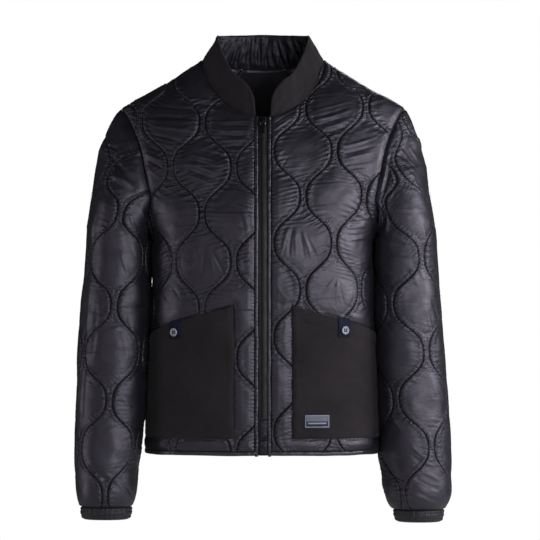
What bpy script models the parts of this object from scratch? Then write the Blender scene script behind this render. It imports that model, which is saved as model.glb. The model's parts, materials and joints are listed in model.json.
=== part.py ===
"""Quilted liner jacket, worn shape with no wearer.

Every cloth piece is cut flat, as a tailor cuts it, in cloth coordinates:
u runs across the cloth from the centre line and v runs up it, both in metres.
A body surface then carries each point of the flat piece to its place in space.
The inner face of a wall is plain. The outer face carries the quilting puffs.

World: +X is the wearer's left, -Y is the front, +Z is up.
The origin lies between the two neck points of the shoulders, where a wearer holds it up.
"""
import math

import bmesh
import bpy
import numpy as np
from mathutils import Matrix, Vector, geometry

# ---------------------------------------------------------------- driving sizes
FRONT, BACK = -1, 1
RIGHT, LEFT = -1, 1                 # the wearer's right and left hand

SHARP_ANGLE = 28                    # degrees; edges bent more than this are shaded sharp
SEAM_GAP = 0.0003                   # between neighbouring pieces
HALF_GAP = SEAM_GAP / 2
NYLON_WALL = 0.002                  # quilted wall at a stitch line
NYLON_PUFF = 0.006                  # highest swell of a quilted cell over that
TWILL_WALL = 0.0016
HEM_Z = -0.633
PANEL_HEM_Z = -0.6265               # panels end here, the hem binding goes on below
CHEST_Z = -0.290                    # above this line the fronts and back turn in to the shoulder
SECTION_POWER = 2.6                 # superellipse power of a level section of the body

# Level sections of the body: height, half width, depth in front, depth behind
BODY_SECTIONS = [
    (-0.640, 0.1880, 0.1200, 0.1130),
    (-0.600, 0.1865, 0.1235, 0.1150),
    (-0.442, 0.1795, 0.1265, 0.1185),
    (-0.340, 0.1750, 0.1255, 0.1215),
    (-0.290, 0.1740, 0.1245, 0.1220),
]
NECK_HALF = 0.098                   # neck point of the shoulder seam, from the centre
SHOULDER_HALF = 0.229               # outer end of the shoulder seam
SHOULDER_SLOPE = 0.59
SHOULDER_DIP = 0.0035               # how far the shoulder line sags below straight
# Power of the profile from chest to shoulder: distance across, power in front, power behind
PROFILE_POWERS = [
    (0.000, 1.42, 1.66),
    (0.080, 1.36, 1.62),
    (0.140, 1.75, 1.95),
    (0.190, 2.35, 2.30),
    (0.280, 2.40, 2.40),
]
FLARE_START = 1.2                   # how late the chest starts to widen towards the shoulder
FLARE_HASTE = 4                     # how soon it reaches the shoulder's width

PLACKET_HALF = 0.012                # a front panel ends this far from the centre line
UNDERARM_Z = -0.268
# Neckline: distance from the centre line, height
FRONT_NECKLINE = [(0.0980, 0.0000), (0.0972, -0.0130), (0.0915, -0.0310), (0.0800, -0.0480),
                  (0.0640, -0.0662), (0.0460, -0.0792), (0.0280, -0.0872), (0.0120, -0.0912)]
BACK_NECKLINE = [(0.0980, 0.0000), (0.0940, -0.0022), (0.0820, -0.0055), (0.0640, -0.0085),
                 (0.0430, -0.0103), (0.0215, -0.0112), (0.0000, -0.0115)]
# Armhole seam, from the shoulder down: distance from the centre line, height
FRONT_ARMHOLE = [(0.2290, -0.0773), (0.2120, -0.1030), (0.1980, -0.1400), (0.1915, -0.1800),
                 (0.1885, -0.2090), (0.1890, -0.2290), (0.2030, -0.2480), (0.2320, -0.2620)]
BACK_ARMHOLE = [(0.2290, -0.0773), (0.2160, -0.1030), (0.2050, -0.1400), (0.1985, -0.1800),
                (0.1960, -0.2090), (0.1975, -0.2290), (0.2110, -0.2480), (0.2350, -0.2620)]

# Onion quilting: mirrored wavy stitch lines
LINE_STEP = 0.0507                  # from one stitch line's middle to the next
LINE_SWING = 0.0204                 # how far a line swings to each side
# Each piece's quilting: middle of line 0, its first swing, height of a neck, length of a wave
QUILTS = {
    "front_right": (0.0210, -1, -0.400, 0.153),
    "front_left": (0.0380, 1, -0.369, 0.150),
    "back": (0.02535, 1, -0.330, 0.152),
    "sleeve_right": (0.02535, -1, -0.3937, 0.152),
    "sleeve_left": (0.0470, -1, -0.468, 0.152),
}
NECK_PUFF_POWER = 0.8               # a puff is lower where its cell is narrow
ROUND_PUFF_POWER = 0.6              # under 1: a puff is steep at its stitch lines
SEAM_FADE = 0.022                   # a puff grows from nothing over this way in from a seam
SEAM_FADE_POWER = 0.7
HIDDEN_PUFF = 0.2                   # share of a puff that is left under a pocket
POCKET_FADE = 0.016                 # a puff grows over this way out from a pocket
POCKET_FADE_POWER = 0.6

# Spacing of points on the cloth
EDGE_STEP = 0.0185                  # along the seams
ARMHOLE_STEP = 0.0155
QUILT_STEP = 0.019                  # along the stitch lines, and from row to row between them
QUILT_STEP_IN_CELL = 0.02185        # across a cell
LAST_SHARE_IN_CELL = 0.86           # the last point of a row stays clear of the next line
LINE_KEEP_OFF = 0.006               # stitch lines stop this far from an edge
FILL_KEEP_OFF = 0.008               # points in a cell or on a pocket stay this far from an edge
POCKET_STEP = 0.024
INNER_STEP = 0.031                  # on the plain inner face
INNER_KEEP_OFF = 0.014

# Sleeves, hand by hand: height, inner and outer edge, middle in depth, half depth
SLEEVE_SECTIONS = {
    RIGHT: [(-0.300, 0.1860, 0.2815, -0.008, 0.0670),
            (-0.380, 0.1875, 0.2875, -0.014, 0.0660),
            (-0.467, 0.1898, 0.2930, -0.019, 0.0640),
            (-0.545, 0.1940, 0.2975, -0.024, 0.0610),
            (-0.615, 0.1985, 0.2995, -0.030, 0.0580),
            (-0.665, 0.2060, 0.2985, -0.035, 0.0550),
            (-0.700, 0.2095, 0.2950, -0.039, 0.0510),
            (-0.7165, 0.2135, 0.2905, -0.041, 0.0440)],
    LEFT: [(-0.300, 0.1860, 0.2765, -0.008, 0.0670),
           (-0.380, 0.1870, 0.2825, -0.014, 0.0660),
           (-0.467, 0.1885, 0.2890, -0.019, 0.0640),
           (-0.545, 0.1922, 0.2950, -0.024, 0.0610),
           (-0.615, 0.1955, 0.2985, -0.030, 0.0590),
           (-0.665, 0.1995, 0.2990, -0.035, 0.0570),
           (-0.705, 0.2035, 0.2965, -0.039, 0.0520),
           (-0.7205, 0.2120, 0.2885, -0.041, 0.0440)],
}
SLEEVE_TOP_Z = -0.300               # level of the first whole ring, under the cap
SLEEVE_GIRTH = 0.353                # flat width of a sleeve
SLEEVE_POWER = 2.2                  # superellipse power of its rings
SLEEVE_SIDE_ROWS = 24
SLEEVE_FOOT_COLUMNS = 20
# How the cap leaves the armhole, as shares of its way down
CAP_OUT = {RIGHT: 0.24, LEFT: 0.12}
CAP_OUT_UNDERARM = 0.25             # more of it at the underarm
CAP_FORWARD = 0.20
CAP_RISE = 0.05
CAP_SWELL = 1.6
# Cuffs: height, inner and outer edge, half depth, at the seam, the middle and the hem
CUFF_SECTIONS = {
    RIGHT: [(-0.7168, 0.2140, 0.2895, 0.0435),
            (-0.7270, 0.2150, 0.2890, 0.0430),
            (-0.7370, 0.2175, 0.2870, 0.0400)],
    LEFT: [(-0.7208, 0.2130, 0.2880, 0.0435),
           (-0.7310, 0.2145, 0.2865, 0.0430),
           (-0.7408, 0.2170, 0.2845, 0.0400)],
}
CUFF_GATHERS = 26
CUFF_GATHER_DEPTH = 0.0011
CUFF_WALL = 0.0022

# Collar along the half neck seam: share of the way, lean in, lean back, rise
COLLAR_LEAN = [
    (0.00, -0.06, 0.10, 0.99),
    (0.15, 0.10, 0.08, 0.99),
    (0.32, 0.36, 0.06, 0.92),
    (0.47, 0.49, 0.04, 0.86),
    (0.62, 0.49, 0.00, 0.86),
    (0.82, 0.29, -0.10, 0.94),
    (1.00, 0.00, -0.16, 0.98),
]
# Collar's height above the seam: share of the way from the front, height
COLLAR_HEIGHTS = [(0.00, 0.0530), (0.45, 0.0545), (0.70, 0.0570), (1.00, 0.0585)]
COLLAR_CORNER = 0.030               # radius of its rounded front corner
COLLAR_FOOT_BEVEL = 0.0009          # its foot is cut back outside, clear of the shoulders' cloth
COLLAR_LEVELS = [0.0, 0.25, 0.5, 0.75, 1.0]
COLLAR_CORNER_RUNS = [0.0, 0.0018, 0.0050, 0.0100, 0.0165, 0.0240, 0.0320]
COLLAR_NEXT_RUN = 0.047             # after the corner, evenly spread from here
COLLAR_COLUMNS = 14
FACING_DEPTH = 0.0024               # inner face of the collar facing, and its swell over that
FACING_PUFF = 0.0020
FACING_WAVE = 0.050                 # length of one of its swells

POCKET_INNER = 0.0465               # pocket's edge towards the centre line
POCKET_SIDE = 0.0220                # it ends this far in front of the side seam
POCKET_TOP = -0.3940                # height of its top edge there
POCKET_FALL = 0.27                  # how fast that edge falls outward
POCKET_HEM_Z = -0.6050
POCKET_LIFT = 0.00042               # its lining side off the front's outer face
POCKET_OUT = NYLON_WALL + NYLON_PUFF * HIDDEN_PUFF + POCKET_LIFT + TWILL_WALL
TAB_MIDDLE = {RIGHT: 0.1420, LEFT: 0.1300}
TAB_WIDTH = 0.0215
TAB_ABOVE = 0.0030                  # how far a tab stands over the pocket's edge
TAB_BELOW = 0.0280
TAB_WALL = 0.0012
TAB_CORNER = 0.003
BUTTON_DROP = 0.0165                # button's centre below the pocket's edge
# Button, from the middle of its back round to the middle of its face: radius, height
BUTTON_PROFILE = [(0.0, 0.0), (0.0050, 0.0), (0.0061, 0.0005), (0.0066, 0.0013),
                  (0.0063, 0.0022), (0.0056, 0.0025), (0.0046, 0.0017), (0.0, 0.0014)]
BUTTON_SEGMENTS = 20
BUTTON_HOLE_SPREAD = 0.00145
BUTTON_HOLE_RADIUS = 0.0007
BUTTON_HOLE_SIDES = 8
BUTTON_HOLE_REACH = (-0.001, 0.004)  # the cutter goes from behind the button to before it
LABEL_EDGES = (0.0655, 0.1055)
LABEL_TOP = -0.5665
LABEL_FOOT = -0.5875
LABEL_WALL = 0.0007

# Sections of the trim up the front: distance from the centre line, height off the cloth
BINDING_INNER = 0.0075              # edge of a front binding towards the zip
BINDING_SECTION = [(PLACKET_HALF - SEAM_GAP, 0.0), (PLACKET_HALF - SEAM_GAP, 0.0030),
                   (0.0105, 0.0040), (0.0090, 0.0040), (BINDING_INNER, 0.0028),
                   (BINDING_INNER, 0.0)]
TAPE_OUTER = BINDING_INNER - SEAM_GAP
TAPE_SECTION = [(HALF_GAP, 0.0), (TAPE_OUTER, 0.0), (TAPE_OUTER, 0.0010), (HALF_GAP, 0.0010)]
CHAIN_SECTION = [(-0.0029, 0.0013), (0.0029, 0.0013), (0.0029, 0.0024),
                 (0.00145, 0.0031), (-0.00145, 0.0031), (-0.0029, 0.0024)]
PLACKET_ROWS = 30
ZIP_ROWS = 26
ZIP_TOP = -0.0922
ZIP_END = -0.5750
CHAIN_TOP = -0.0975                 # the chain runs up into the slider
# Placket foot, the cloth under the zip's end, with one cross seam: height, thickness
FOOT_ROWS = [(-0.6315, 0.0026), (-0.6190, 0.0034), (-0.6067, 0.0026), (-0.6050, 0.0014),
             (-0.6032, 0.0026), (-0.5902, 0.0036), (-0.5756, 0.0022)]
# Hem binding, from its top edge round to its inner foot: height, height off the cloth
HEM_SECTION = [(PANEL_HEM_Z - SEAM_GAP, 0.0), (PANEL_HEM_Z - SEAM_GAP, 0.0030),
               (PANEL_HEM_Z - 0.0021, 0.0040), (HEM_Z + 0.0012, 0.0038),
               (HEM_Z, 0.0020), (HEM_Z + 0.0010, 0.0)]
HEM_STEP = 0.017

# Slider: its middle, and its body as rows of (up, half width)
SLIDER_Z = -0.1010
SLIDER_ROWS = [(-0.00625, 0.0036), (-0.0034, 0.0046), (0.0028, 0.0049), (0.00625, 0.0040)]
SLIDER_SEAT = 0.0034                # slider's underside above the cloth's inner face
SLIDER_TOP = 0.0072
SLIDER_ROUND = 0.0008
CROWN_HALF = 0.0011                 # half the width of the crown that holds the pull tab
CROWN_HALF_LENGTH = 0.0041
CROWN_TOP = 0.0110
CROWN_ROUND = 0.0014
CROWN_FOOT = 0.0066                 # the crown starts inside the slider's body
CROWN_WINDOW_TOP = 0.0099
CROWN_WINDOW_HALF = 0.0026
# Pull tab about its hinge, right half from the top down: across, up
PULL_EDGE = [(0.0026, 0.00065), (0.0034, -0.00015), (0.0034, -0.0080), (0.0027, -0.0120),
             (0.0031, -0.02035), (0.0019, -0.02285)]
PULL_HOLE = [(0.00068, -0.00065), (0.0017, -0.00065), (0.0017, -0.0052), (0.00136, -0.0062),
             (0.00085, -0.0062), (0.00034, -0.0062)]
PULL_HEIGHT = 0.0087                # the pull tab's mid plane above the inner face
PULL_WALL = 0.0012

COLOURS = {
    "nylon": ((0.018, 0.018, 0.024, 1), 0.30, 0.0),
    "twill": ((0.020, 0.017, 0.017, 1), 0.85, 0.0),
    "navy_tape": ((0.006, 0.011, 0.022, 1), 0.80, 0.0),
    "label_cloth": ((0.050, 0.062, 0.090, 1), 0.75, 0.0),
    "zip_tape": ((0.012, 0.014, 0.016, 1), 0.80, 0.0),
    "zip_chain": ((0.010, 0.011, 0.012, 1), 0.45, 0.0),
    "zip_metal": ((0.020, 0.021, 0.023, 1), 0.35, 0.6),
    "button": ((0.170, 0.190, 0.230, 1), 0.40, 0.0),
    "elastic_nylon": ((0.020, 0.020, 0.026, 1), 0.40, 0.0),
}


# ---------------------------------------------------------------- body surface
def smooth_table(rows, at, column):
    """Read one column of a table at a height, on a smooth curve through its rows."""
    heights = [row[0] for row in rows]
    values = [row[column] for row in rows]
    if heights[0] > heights[-1]:
        heights.reverse()
        values.reverse()
    at = min(max(at, heights[0]), heights[-1])
    index = min(max(int(np.searchsorted(heights, at)) - 1, 0), len(heights) - 2)
    slopes = np.gradient(values, heights)
    span = heights[index + 1] - heights[index]
    share = (at - heights[index]) / span
    start = values[index] * (2 * share ** 3 - 3 * share ** 2 + 1)
    leave = slopes[index] * span * (share ** 3 - 2 * share ** 2 + share)
    end = values[index + 1] * (3 * share ** 2 - 2 * share ** 3)
    arrive = slopes[index + 1] * span * (share ** 3 - share ** 2)
    return start + leave + end + arrive


def quarter(width, depth, power, samples=61):
    """A superellipse from (0, depth) to (width, 0), with its running length."""
    angle = np.linspace(0, math.pi / 2, samples)
    radius = ((np.sin(angle) / width) ** power + (np.cos(angle) / depth) ** power) ** (-1 / power)
    across = radius * np.sin(angle)
    deep = radius * np.cos(angle)
    run = np.concatenate([[0], np.cumsum(np.hypot(np.diff(across), np.diff(deep)))])
    return across, deep, run


def body_quarter(face, z):
    column = 2 if face == FRONT else 3
    return quarter(smooth_table(BODY_SECTIONS, z, 1), smooth_table(BODY_SECTIONS, z, column),
                   SECTION_POWER)


def side_seam(face, v):
    """Length across the cloth from the centre line to the side seam."""
    return body_quarter(face, min(v, CHEST_Z))[2][-1]


def shoulder_height(across):
    inside = max(NECK_HALF - across, 0)
    if inside > 0:
        return SHOULDER_SLOPE * inside * (1 - 0.5 * inside / NECK_HALF)
    way = across - NECK_HALF
    dip = math.sin(math.pi * min(way / (SHOULDER_HALF - NECK_HALF), 1)) ** 2
    return -SHOULDER_SLOPE * way - SHOULDER_DIP * dip


def shoulder_profile(face, across):
    """Where the grain at this distance across meets the chest, and its way up from there."""
    chest_across, chest_deep, chest_run = body_quarter(face, CHEST_Z)
    x = float(np.interp(across, chest_run, chest_across))
    y = float(np.interp(across, chest_run, chest_deep))
    power = smooth_table(PROFILE_POWERS, across, 1 if face == FRONT else 2)
    rise, deep, run = quarter(shoulder_height(across) - CHEST_Z, max(y, 1e-4), power)
    return x, rise, deep, run


def body_point(face, u, v):
    """The place of cloth point (u, v) of a front or the back, on the plain inner face."""
    hand = 1 if u >= 0 else -1
    across = abs(u)
    if v <= CHEST_Z:
        wide, deep, run = body_quarter(face, v)
        return Vector((hand * np.interp(across, run, wide), face * np.interp(across, run, deep), v))
    x, rise, deep, run = shoulder_profile(face, across)
    up = float(np.interp(v - CHEST_Z, run, rise))
    y = float(np.interp(v - CHEST_Z, run, deep))
    share = up / rise[-1]
    flare = 1 - (1 - share ** FLARE_START) ** FLARE_HASTE
    return Vector((hand * (x + (across - x) * flare), face * y, CHEST_Z + up))


def body_v(face, across, z):
    """The cloth height v at which the grain at this distance reaches height z."""
    if z <= CHEST_Z:
        return z
    _, rise, _, run = shoulder_profile(face, across)
    return CHEST_Z + float(np.interp(z - CHEST_Z, rise, run))


def shoulder_v(face, across):
    return CHEST_Z + float(shoulder_profile(face, across)[3][-1])


def surface_normal(place, u, v, outward, step=0.0004):
    """Normal of a surface function at (u, v), turned to the side of the outward vector."""
    along = place(u + step, v) - place(u - step, v)
    up = place(u, v + step) - place(u, v - step)
    normal = along.cross(up)
    if normal.length < 1e-12:
        return outward.normalized()
    normal.normalize()
    return normal if normal.dot(outward) >= 0 else -normal


def body_normal(face, u, v):
    top = shoulder_v(face, abs(u)) if v > CHEST_Z else v + 1
    edge = side_seam(face, v) if v < UNDERARM_Z else abs(u) + 1
    safe_v = min(v, top - 0.0015)
    safe_u = math.copysign(min(abs(u), edge - 0.0015), u)
    place = body_point(face, safe_u, safe_v)
    outward = Vector((place.x, place.y, max(0.0, place.z - CHEST_Z)))
    return surface_normal(lambda a, b: body_point(face, a, b), safe_u, safe_v, outward)


# ---------------------------------------------------------------- quilting
def quilt_line(quilt, index, v):
    middle, swing, neck, wave = quilt
    sign = swing if index % 2 == 0 else -swing
    return middle + index * LINE_STEP + sign * LINE_SWING * math.cos(2 * math.pi * (v - neck) / wave)


def quilt_height(quilt, u, v):
    """Height of the puff at a cloth point, from nothing at a stitch line."""
    index = math.floor((u - quilt[0]) / LINE_STEP)
    while quilt_line(quilt, index, v) > u:
        index -= 1
    while quilt_line(quilt, index + 1, v) <= u:
        index += 1
    left, right = quilt_line(quilt, index, v), quilt_line(quilt, index + 1, v)
    share = (u - left) / (right - left)
    widest = LINE_STEP + 2 * LINE_SWING
    swell = ((right - left) / widest) ** NECK_PUFF_POWER
    return NYLON_PUFF * swell * (4 * share * (1 - share)) ** ROUND_PUFF_POWER


# ---------------------------------------------------------------- meshes
def new_object(name, vertices, faces, colour, parent):
    mesh = bpy.data.meshes.new(name)
    mesh.from_pydata([tuple(v) for v in vertices], [], faces)
    work = bmesh.new()
    work.from_mesh(mesh)
    bmesh.ops.recalc_face_normals(work, faces=work.faces)
    work.to_mesh(mesh)
    work.free()
    mesh.shade_smooth()
    mesh.set_sharp_from_angle(angle=math.radians(SHARP_ANGLE))
    obj = bpy.data.objects.new(name, mesh)
    bpy.context.scene.collection.objects.link(obj)
    obj.parent = parent
    obj.data.materials.append(material(colour))
    return obj


def material(name):
    made = bpy.data.materials.get(name)
    if made:
        return made
    colour, roughness, metallic = COLOURS[name]
    made = bpy.data.materials.new(name)
    made.use_nodes = True
    shader = made.node_tree.nodes["Principled BSDF"]
    shader.inputs["Base Color"].default_value = colour
    shader.inputs["Roughness"].default_value = roughness
    shader.inputs["Metallic"].default_value = metallic
    return made


def inside(point, outline):
    """Whether a flat point lies inside a closed outline."""
    x, y = point
    hit = False
    for (x0, y0), (x1, y1) in zip(outline, outline[1:] + outline[:1]):
        if (y0 > y) != (y1 > y) and x < (x1 - x0) * (y - y0) / (y1 - y0) + x0:
            hit = not hit
    return hit


def edge_distance(point, outline):
    """Distance from a flat point to a closed outline."""
    ring = np.array(outline)
    start, way = ring, np.roll(ring, -1, axis=0) - ring
    length = np.maximum((way ** 2).sum(axis=1), 1e-16)
    share = np.clip(((np.array(point) - start) * way).sum(axis=1) / length, 0, 1)
    return float(np.sqrt((((start + way * share[:, None]) - point) ** 2).sum(axis=1)).min())


def resample(points, step):
    """Points along an open line, about a step apart, ends kept."""
    line = np.array(points)
    run = np.concatenate([[0], np.cumsum(np.hypot(*np.diff(line, axis=0).T))])
    count = max(int(round(run[-1] / step)), 1)
    at = np.linspace(0, run[-1], count + 1)
    return [(float(a), float(b)) for a, b in zip(np.interp(at, run, line[:, 0]),
                                                 np.interp(at, run, line[:, 1]))]


def smooth_line(points, per_span=6):
    """A smooth curve through an open list of flat points (Catmull-Rom)."""
    ring = [points[0]] + list(points) + [points[-1]]
    out = []
    for a, b, c, d in zip(ring, ring[1:], ring[2:], ring[3:]):
        for k in range(per_span):
            t = k / per_span
            out.append(tuple(0.5 * (2 * q + (r - p) * t + (2 * p - 5 * q + 4 * r - s) * t * t
                                    + (3 * q - p - 3 * r + s) * t ** 3)
                             for p, q, r, s in zip(a, b, c, d)))
    return out + [points[-1]]


def triangulate(outline, chains, singles):
    """Triangles of a flat piece: its outline first, then stitch lines and single points."""
    points = list(outline)
    edges = []
    for chain in chains:
        first = len(points)
        points += chain
        edges += [(i, i + 1) for i in range(first, first + len(chain) - 1)]
    points += singles
    found = geometry.delaunay_2d_cdt([Vector(p) for p in points], edges,
                                     [list(range(len(outline)))], 1, 1e-6)
    flat, _, faces, source = found[:4]
    place = {}
    for new, olds in enumerate(source):
        for old in olds:
            place[old] = new
    border = [place[i] for i in range(len(outline))]
    return [tuple(p) for p in flat], [tuple(f) for f in faces], border


def clear(point, outline, avoid, keep_off):
    """Whether a point lies inside an outline and outside another, away from both."""
    if not inside(point, outline) or edge_distance(point, outline) < keep_off:
        return False
    if avoid is None:
        return True
    return not inside(point, avoid) and edge_distance(point, avoid) > keep_off


def line_range(quilt, outline):
    """Numbers of the stitch lines that may cross a piece."""
    us = [p[0] for p in outline]
    first = math.floor((min(us) - quilt[0]) / LINE_STEP) - 1
    last = math.ceil((max(us) - quilt[0]) / LINE_STEP) + 1
    return range(first, last + 1)


def quilt_chains(quilt, outline, avoid):
    """The stitch lines of a piece, stopped short of its edges."""
    vs = [p[1] for p in outline]
    neck, wave = quilt[2:]
    wave_step = wave / round(wave / QUILT_STEP)
    start = neck + wave_step * math.floor((min(vs) - neck) / wave_step)
    chains = []
    for index in line_range(quilt, outline):
        chain = []
        v = start
        while v < max(vs):
            point = (quilt_line(quilt, index, v), v)
            if clear(point, outline, avoid, LINE_KEEP_OFF):
                chain.append(point)
            elif chain:
                chains.append(chain)
                chain = []
            v += wave_step
        if chain:
            chains.append(chain)
    return chains


def quilt_fill(quilt, outline, avoid):
    """Points inside the cells, between neighbouring stitch lines, rows shifted in turn."""
    vs = [p[1] for p in outline]
    points = []
    for row, v in enumerate(np.arange(min(vs), max(vs), QUILT_STEP)):
        v = float(v)
        first_share = 0.75 if row % 2 else 0.5
        for index in line_range(quilt, outline):
            left, right = quilt_line(quilt, index, v), quilt_line(quilt, index + 1, v)
            count = int((right - left) / QUILT_STEP_IN_CELL)
            for k in range(count):
                share = min((k + first_share) / (count + 0.25), LAST_SHARE_IN_CELL)
                point = (left + (right - left) * share, v)
                if clear(point, outline, avoid, FILL_KEEP_OFF):
                    points.append(point)
    return points


def grid_fill(outline, step, keep_off):
    """Evenly spread points for a plain face."""
    us = [p[0] for p in outline]
    vs = [p[1] for p in outline]
    points = []
    for i, v in enumerate(np.arange(min(vs) + step / 2, max(vs), step)):
        for u in np.arange(min(us) + step / 2 * (1 + i % 2), max(us), step):
            point = (float(u), float(v))
            if inside(point, outline) and edge_distance(point, outline) > keep_off:
                points.append(point)
    return points


def wall(name, colour, parent, outer, inner):
    """A closed wall from its outer and inner faces, each (vertices, triangles, border)."""
    outer_points, outer_faces, outer_border = outer
    inner_points, inner_faces, inner_border = inner
    shift = len(outer_points)
    vertices = outer_points + inner_points
    faces = list(outer_faces)
    faces += [tuple(reversed([i + shift for i in face])) for face in inner_faces]
    count = len(outer_border)
    for i in range(count):
        a, b = outer_border[i], outer_border[(i + 1) % count]
        c, d = inner_border[(i + 1) % count] + shift, inner_border[i] + shift
        faces += [(a, d, c), (a, c, b)]
    return new_object(name, vertices, faces, colour, parent)


def loft(name, colour, parent, rings, closed=False):
    """A solid through rings of equal count, capped at its ends unless it closes on itself."""
    count = len(rings[0])
    vertices = [point for ring in rings for point in ring]
    faces = []
    spans = len(rings) if closed else len(rings) - 1
    for i in range(spans):
        here, there = i * count, ((i + 1) % len(rings)) * count
        for j in range(count):
            k = (j + 1) % count
            faces.append((here + j, here + k, there + k, there + j))
    if not closed:
        faces.append(tuple(reversed(range(count))))
        faces.append(tuple(range(len(vertices) - count, len(vertices))))
    return new_object(name, vertices, faces, colour, parent)


# ---------------------------------------------------------------- fronts and back
def pocket_top(across):
    return POCKET_TOP - POCKET_FALL * (across - POCKET_INNER)


def armhole_line(face):
    """Armhole in cloth coordinates, from the underarm up to the shoulder."""
    rows = FRONT_ARMHOLE if face == FRONT else BACK_ARMHOLE
    under = (side_seam(face, UNDERARM_Z), UNDERARM_Z)
    line = [(u, body_v(face, u, z)) for u, z in rows[1:]]
    line = [(SHOULDER_HALF, shoulder_v(face, SHOULDER_HALF))] + line + [under]
    line.reverse()
    return resample(smooth_line(line), ARMHOLE_STEP)


def neck_line(face):
    """Neckline in cloth coordinates, from the shoulder's neck point to the centre."""
    rows = FRONT_NECKLINE if face == FRONT else BACK_NECKLINE
    line = [(u, body_v(face, u, z)) for u, z in rows[1:]]
    return [(NECK_HALF, shoulder_v(face, NECK_HALF))] + line


def half_outline(face, inner_edge):
    """One half of the body's outline, counter-clockwise from the hem at the centre.

    Returns the points and, for each, the seam it lies on.
    """
    step = EDGE_STEP
    points, seams = [], []

    def add(line, seam, inset):
        for point in line:
            points.append((point[0] + inset[0], point[1] + inset[1]))
            seams.append(seam)

    hem_side = side_seam(face, PANEL_HEM_Z) - HALF_GAP
    add(resample([(inner_edge, PANEL_HEM_Z), (hem_side, PANEL_HEM_Z)], step)[:-1], "hem", (0, 0))
    heights = np.linspace(PANEL_HEM_Z, UNDERARM_Z, round((UNDERARM_Z - PANEL_HEM_Z) / step) + 1)
    side = [(side_seam(face, v), float(v)) for v in heights]
    add(side[:-1], "side", (-HALF_GAP, 0))
    armhole = armhole_line(face)
    add([armhole[0]], "armhole", (-HALF_GAP, -HALF_GAP))
    add(armhole[1:-1], "armhole", (-HALF_GAP, 0))
    add([armhole[-1]], "armhole", (-HALF_GAP, -HALF_GAP))
    across = np.linspace(SHOULDER_HALF, NECK_HALF, round((SHOULDER_HALF - NECK_HALF) / step) + 1)
    add([(float(u), shoulder_v(face, u)) for u in across[1:-1]], "shoulder", (0, -HALF_GAP))
    neck = neck_line(face)
    add([neck[0]], "neck", (0, -HALF_GAP))
    add(neck[1:], "neck", (0, -HALF_GAP))
    if inner_edge > 0:
        top = neck[-1][1] - HALF_GAP
        add(resample([(inner_edge, top), (inner_edge, PANEL_HEM_Z)], step)[1:-1], "placket", (0, 0))
    return points, seams


def seam_direction(face, hand, u, v, seam):
    """Direction of a wall's thickness at a seam that two walls share."""
    normal = body_normal(face, hand * u, v)
    place = body_point(face, hand * u, v)
    if seam == "armhole":
        other = sleeve_root_normal(hand, place, face)
        return (normal + other).normalized()
    if seam == "neck":
        share = neck_share(face, abs(u))
        other = collar_frame(hand, share)[2]
        return (normal + other).normalized()
    if seam == "shoulder":
        return Vector((normal.x, 0, normal.z)).normalized()
    if seam == "side":
        return Vector((normal.x, 0, 0)).normalized()
    return normal


def panel(name, face, hand, parent):
    """A quilted front or the whole back. Returns its flat points, triangles and outer points."""
    quilt = QUILTS[name]
    if face == FRONT:
        outline, seams = half_outline(face, PLACKET_HALF)
        hands = [hand] * len(outline)
        under_pocket = pocket_outline()
        mirror = hand
    else:
        half, half_seams = half_outline(face, 0.0)
        mirrored = [(-u, v) for u, v in reversed(half)]
        outline = half + mirrored[1:-1]
        seams = half_seams + list(reversed(half_seams))[1:-1]
        hands = [LEFT] * len(half) + [RIGHT] * (len(mirrored) - 2)
        under_pocket = None
        mirror = 1

    chains = quilt_chains(quilt, outline, under_pocket)
    fill = quilt_fill(quilt, outline, under_pocket)
    if under_pocket:
        chains.append(under_pocket + under_pocket[:1])
        fill += grid_fill(under_pocket, POCKET_STEP, FILL_KEEP_OFF)
    flat, faces, border = triangulate(outline, chains, fill)
    seam_ways = {}
    for i, (u, v) in enumerate(outline):
        seam_ways[border[i]] = seam_direction(face, hands[i], abs(u), v, seams[i])

    outer = []
    for i, (u, v) in enumerate(flat):
        way = seam_ways.get(i)
        if way is None:
            way = body_normal(face, mirror * u, v)
        height = NYLON_WALL + panel_puff(quilt, (u, v), outline, under_pocket)
        outer.append(body_point(face, mirror * u, v) + way * height)

    inner_fill = grid_fill(outline, INNER_STEP, INNER_KEEP_OFF)
    inner_flat, inner_faces, inner_border = triangulate(outline, [], inner_fill)
    inner = [body_point(face, mirror * u, v) for u, v in inner_flat]
    wall(name, "nylon", parent, (outer, faces, border), (inner, inner_faces, inner_border))
    return flat, faces, outer


def panel_puff(quilt, point, outline, under_pocket):
    away = edge_distance(point, outline)
    puff = quilt_height(quilt, *point) * min(away / SEAM_FADE, 1.0) ** SEAM_FADE_POWER
    if under_pocket is None:
        return puff
    if inside(point, under_pocket):
        return puff * HIDDEN_PUFF
    away = edge_distance(point, under_pocket)
    return puff * min(away / POCKET_FADE, 1.0) ** POCKET_FADE_POWER


def pocket_outline():
    """Flat outline of a patch pocket, counter-clockwise from its lower inner corner."""
    step = EDGE_STEP
    outer_low = side_seam(FRONT, POCKET_HEM_Z) - POCKET_SIDE
    outer_high_v = pocket_top(side_seam(FRONT, -0.45) - POCKET_SIDE)
    heights = np.linspace(POCKET_HEM_Z, outer_high_v, 8)
    side = [(side_seam(FRONT, v) - POCKET_SIDE, float(v)) for v in heights]
    low = resample([(POCKET_INNER, POCKET_HEM_Z), (outer_low, POCKET_HEM_Z)], step)[:-1]
    high = resample([side[-1], (POCKET_INNER, POCKET_TOP)], step)[1:-1]
    inner = resample([(POCKET_INNER, POCKET_TOP), (POCKET_INNER, POCKET_HEM_Z)], step)[:-1]
    return low + side + high + inner


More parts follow.
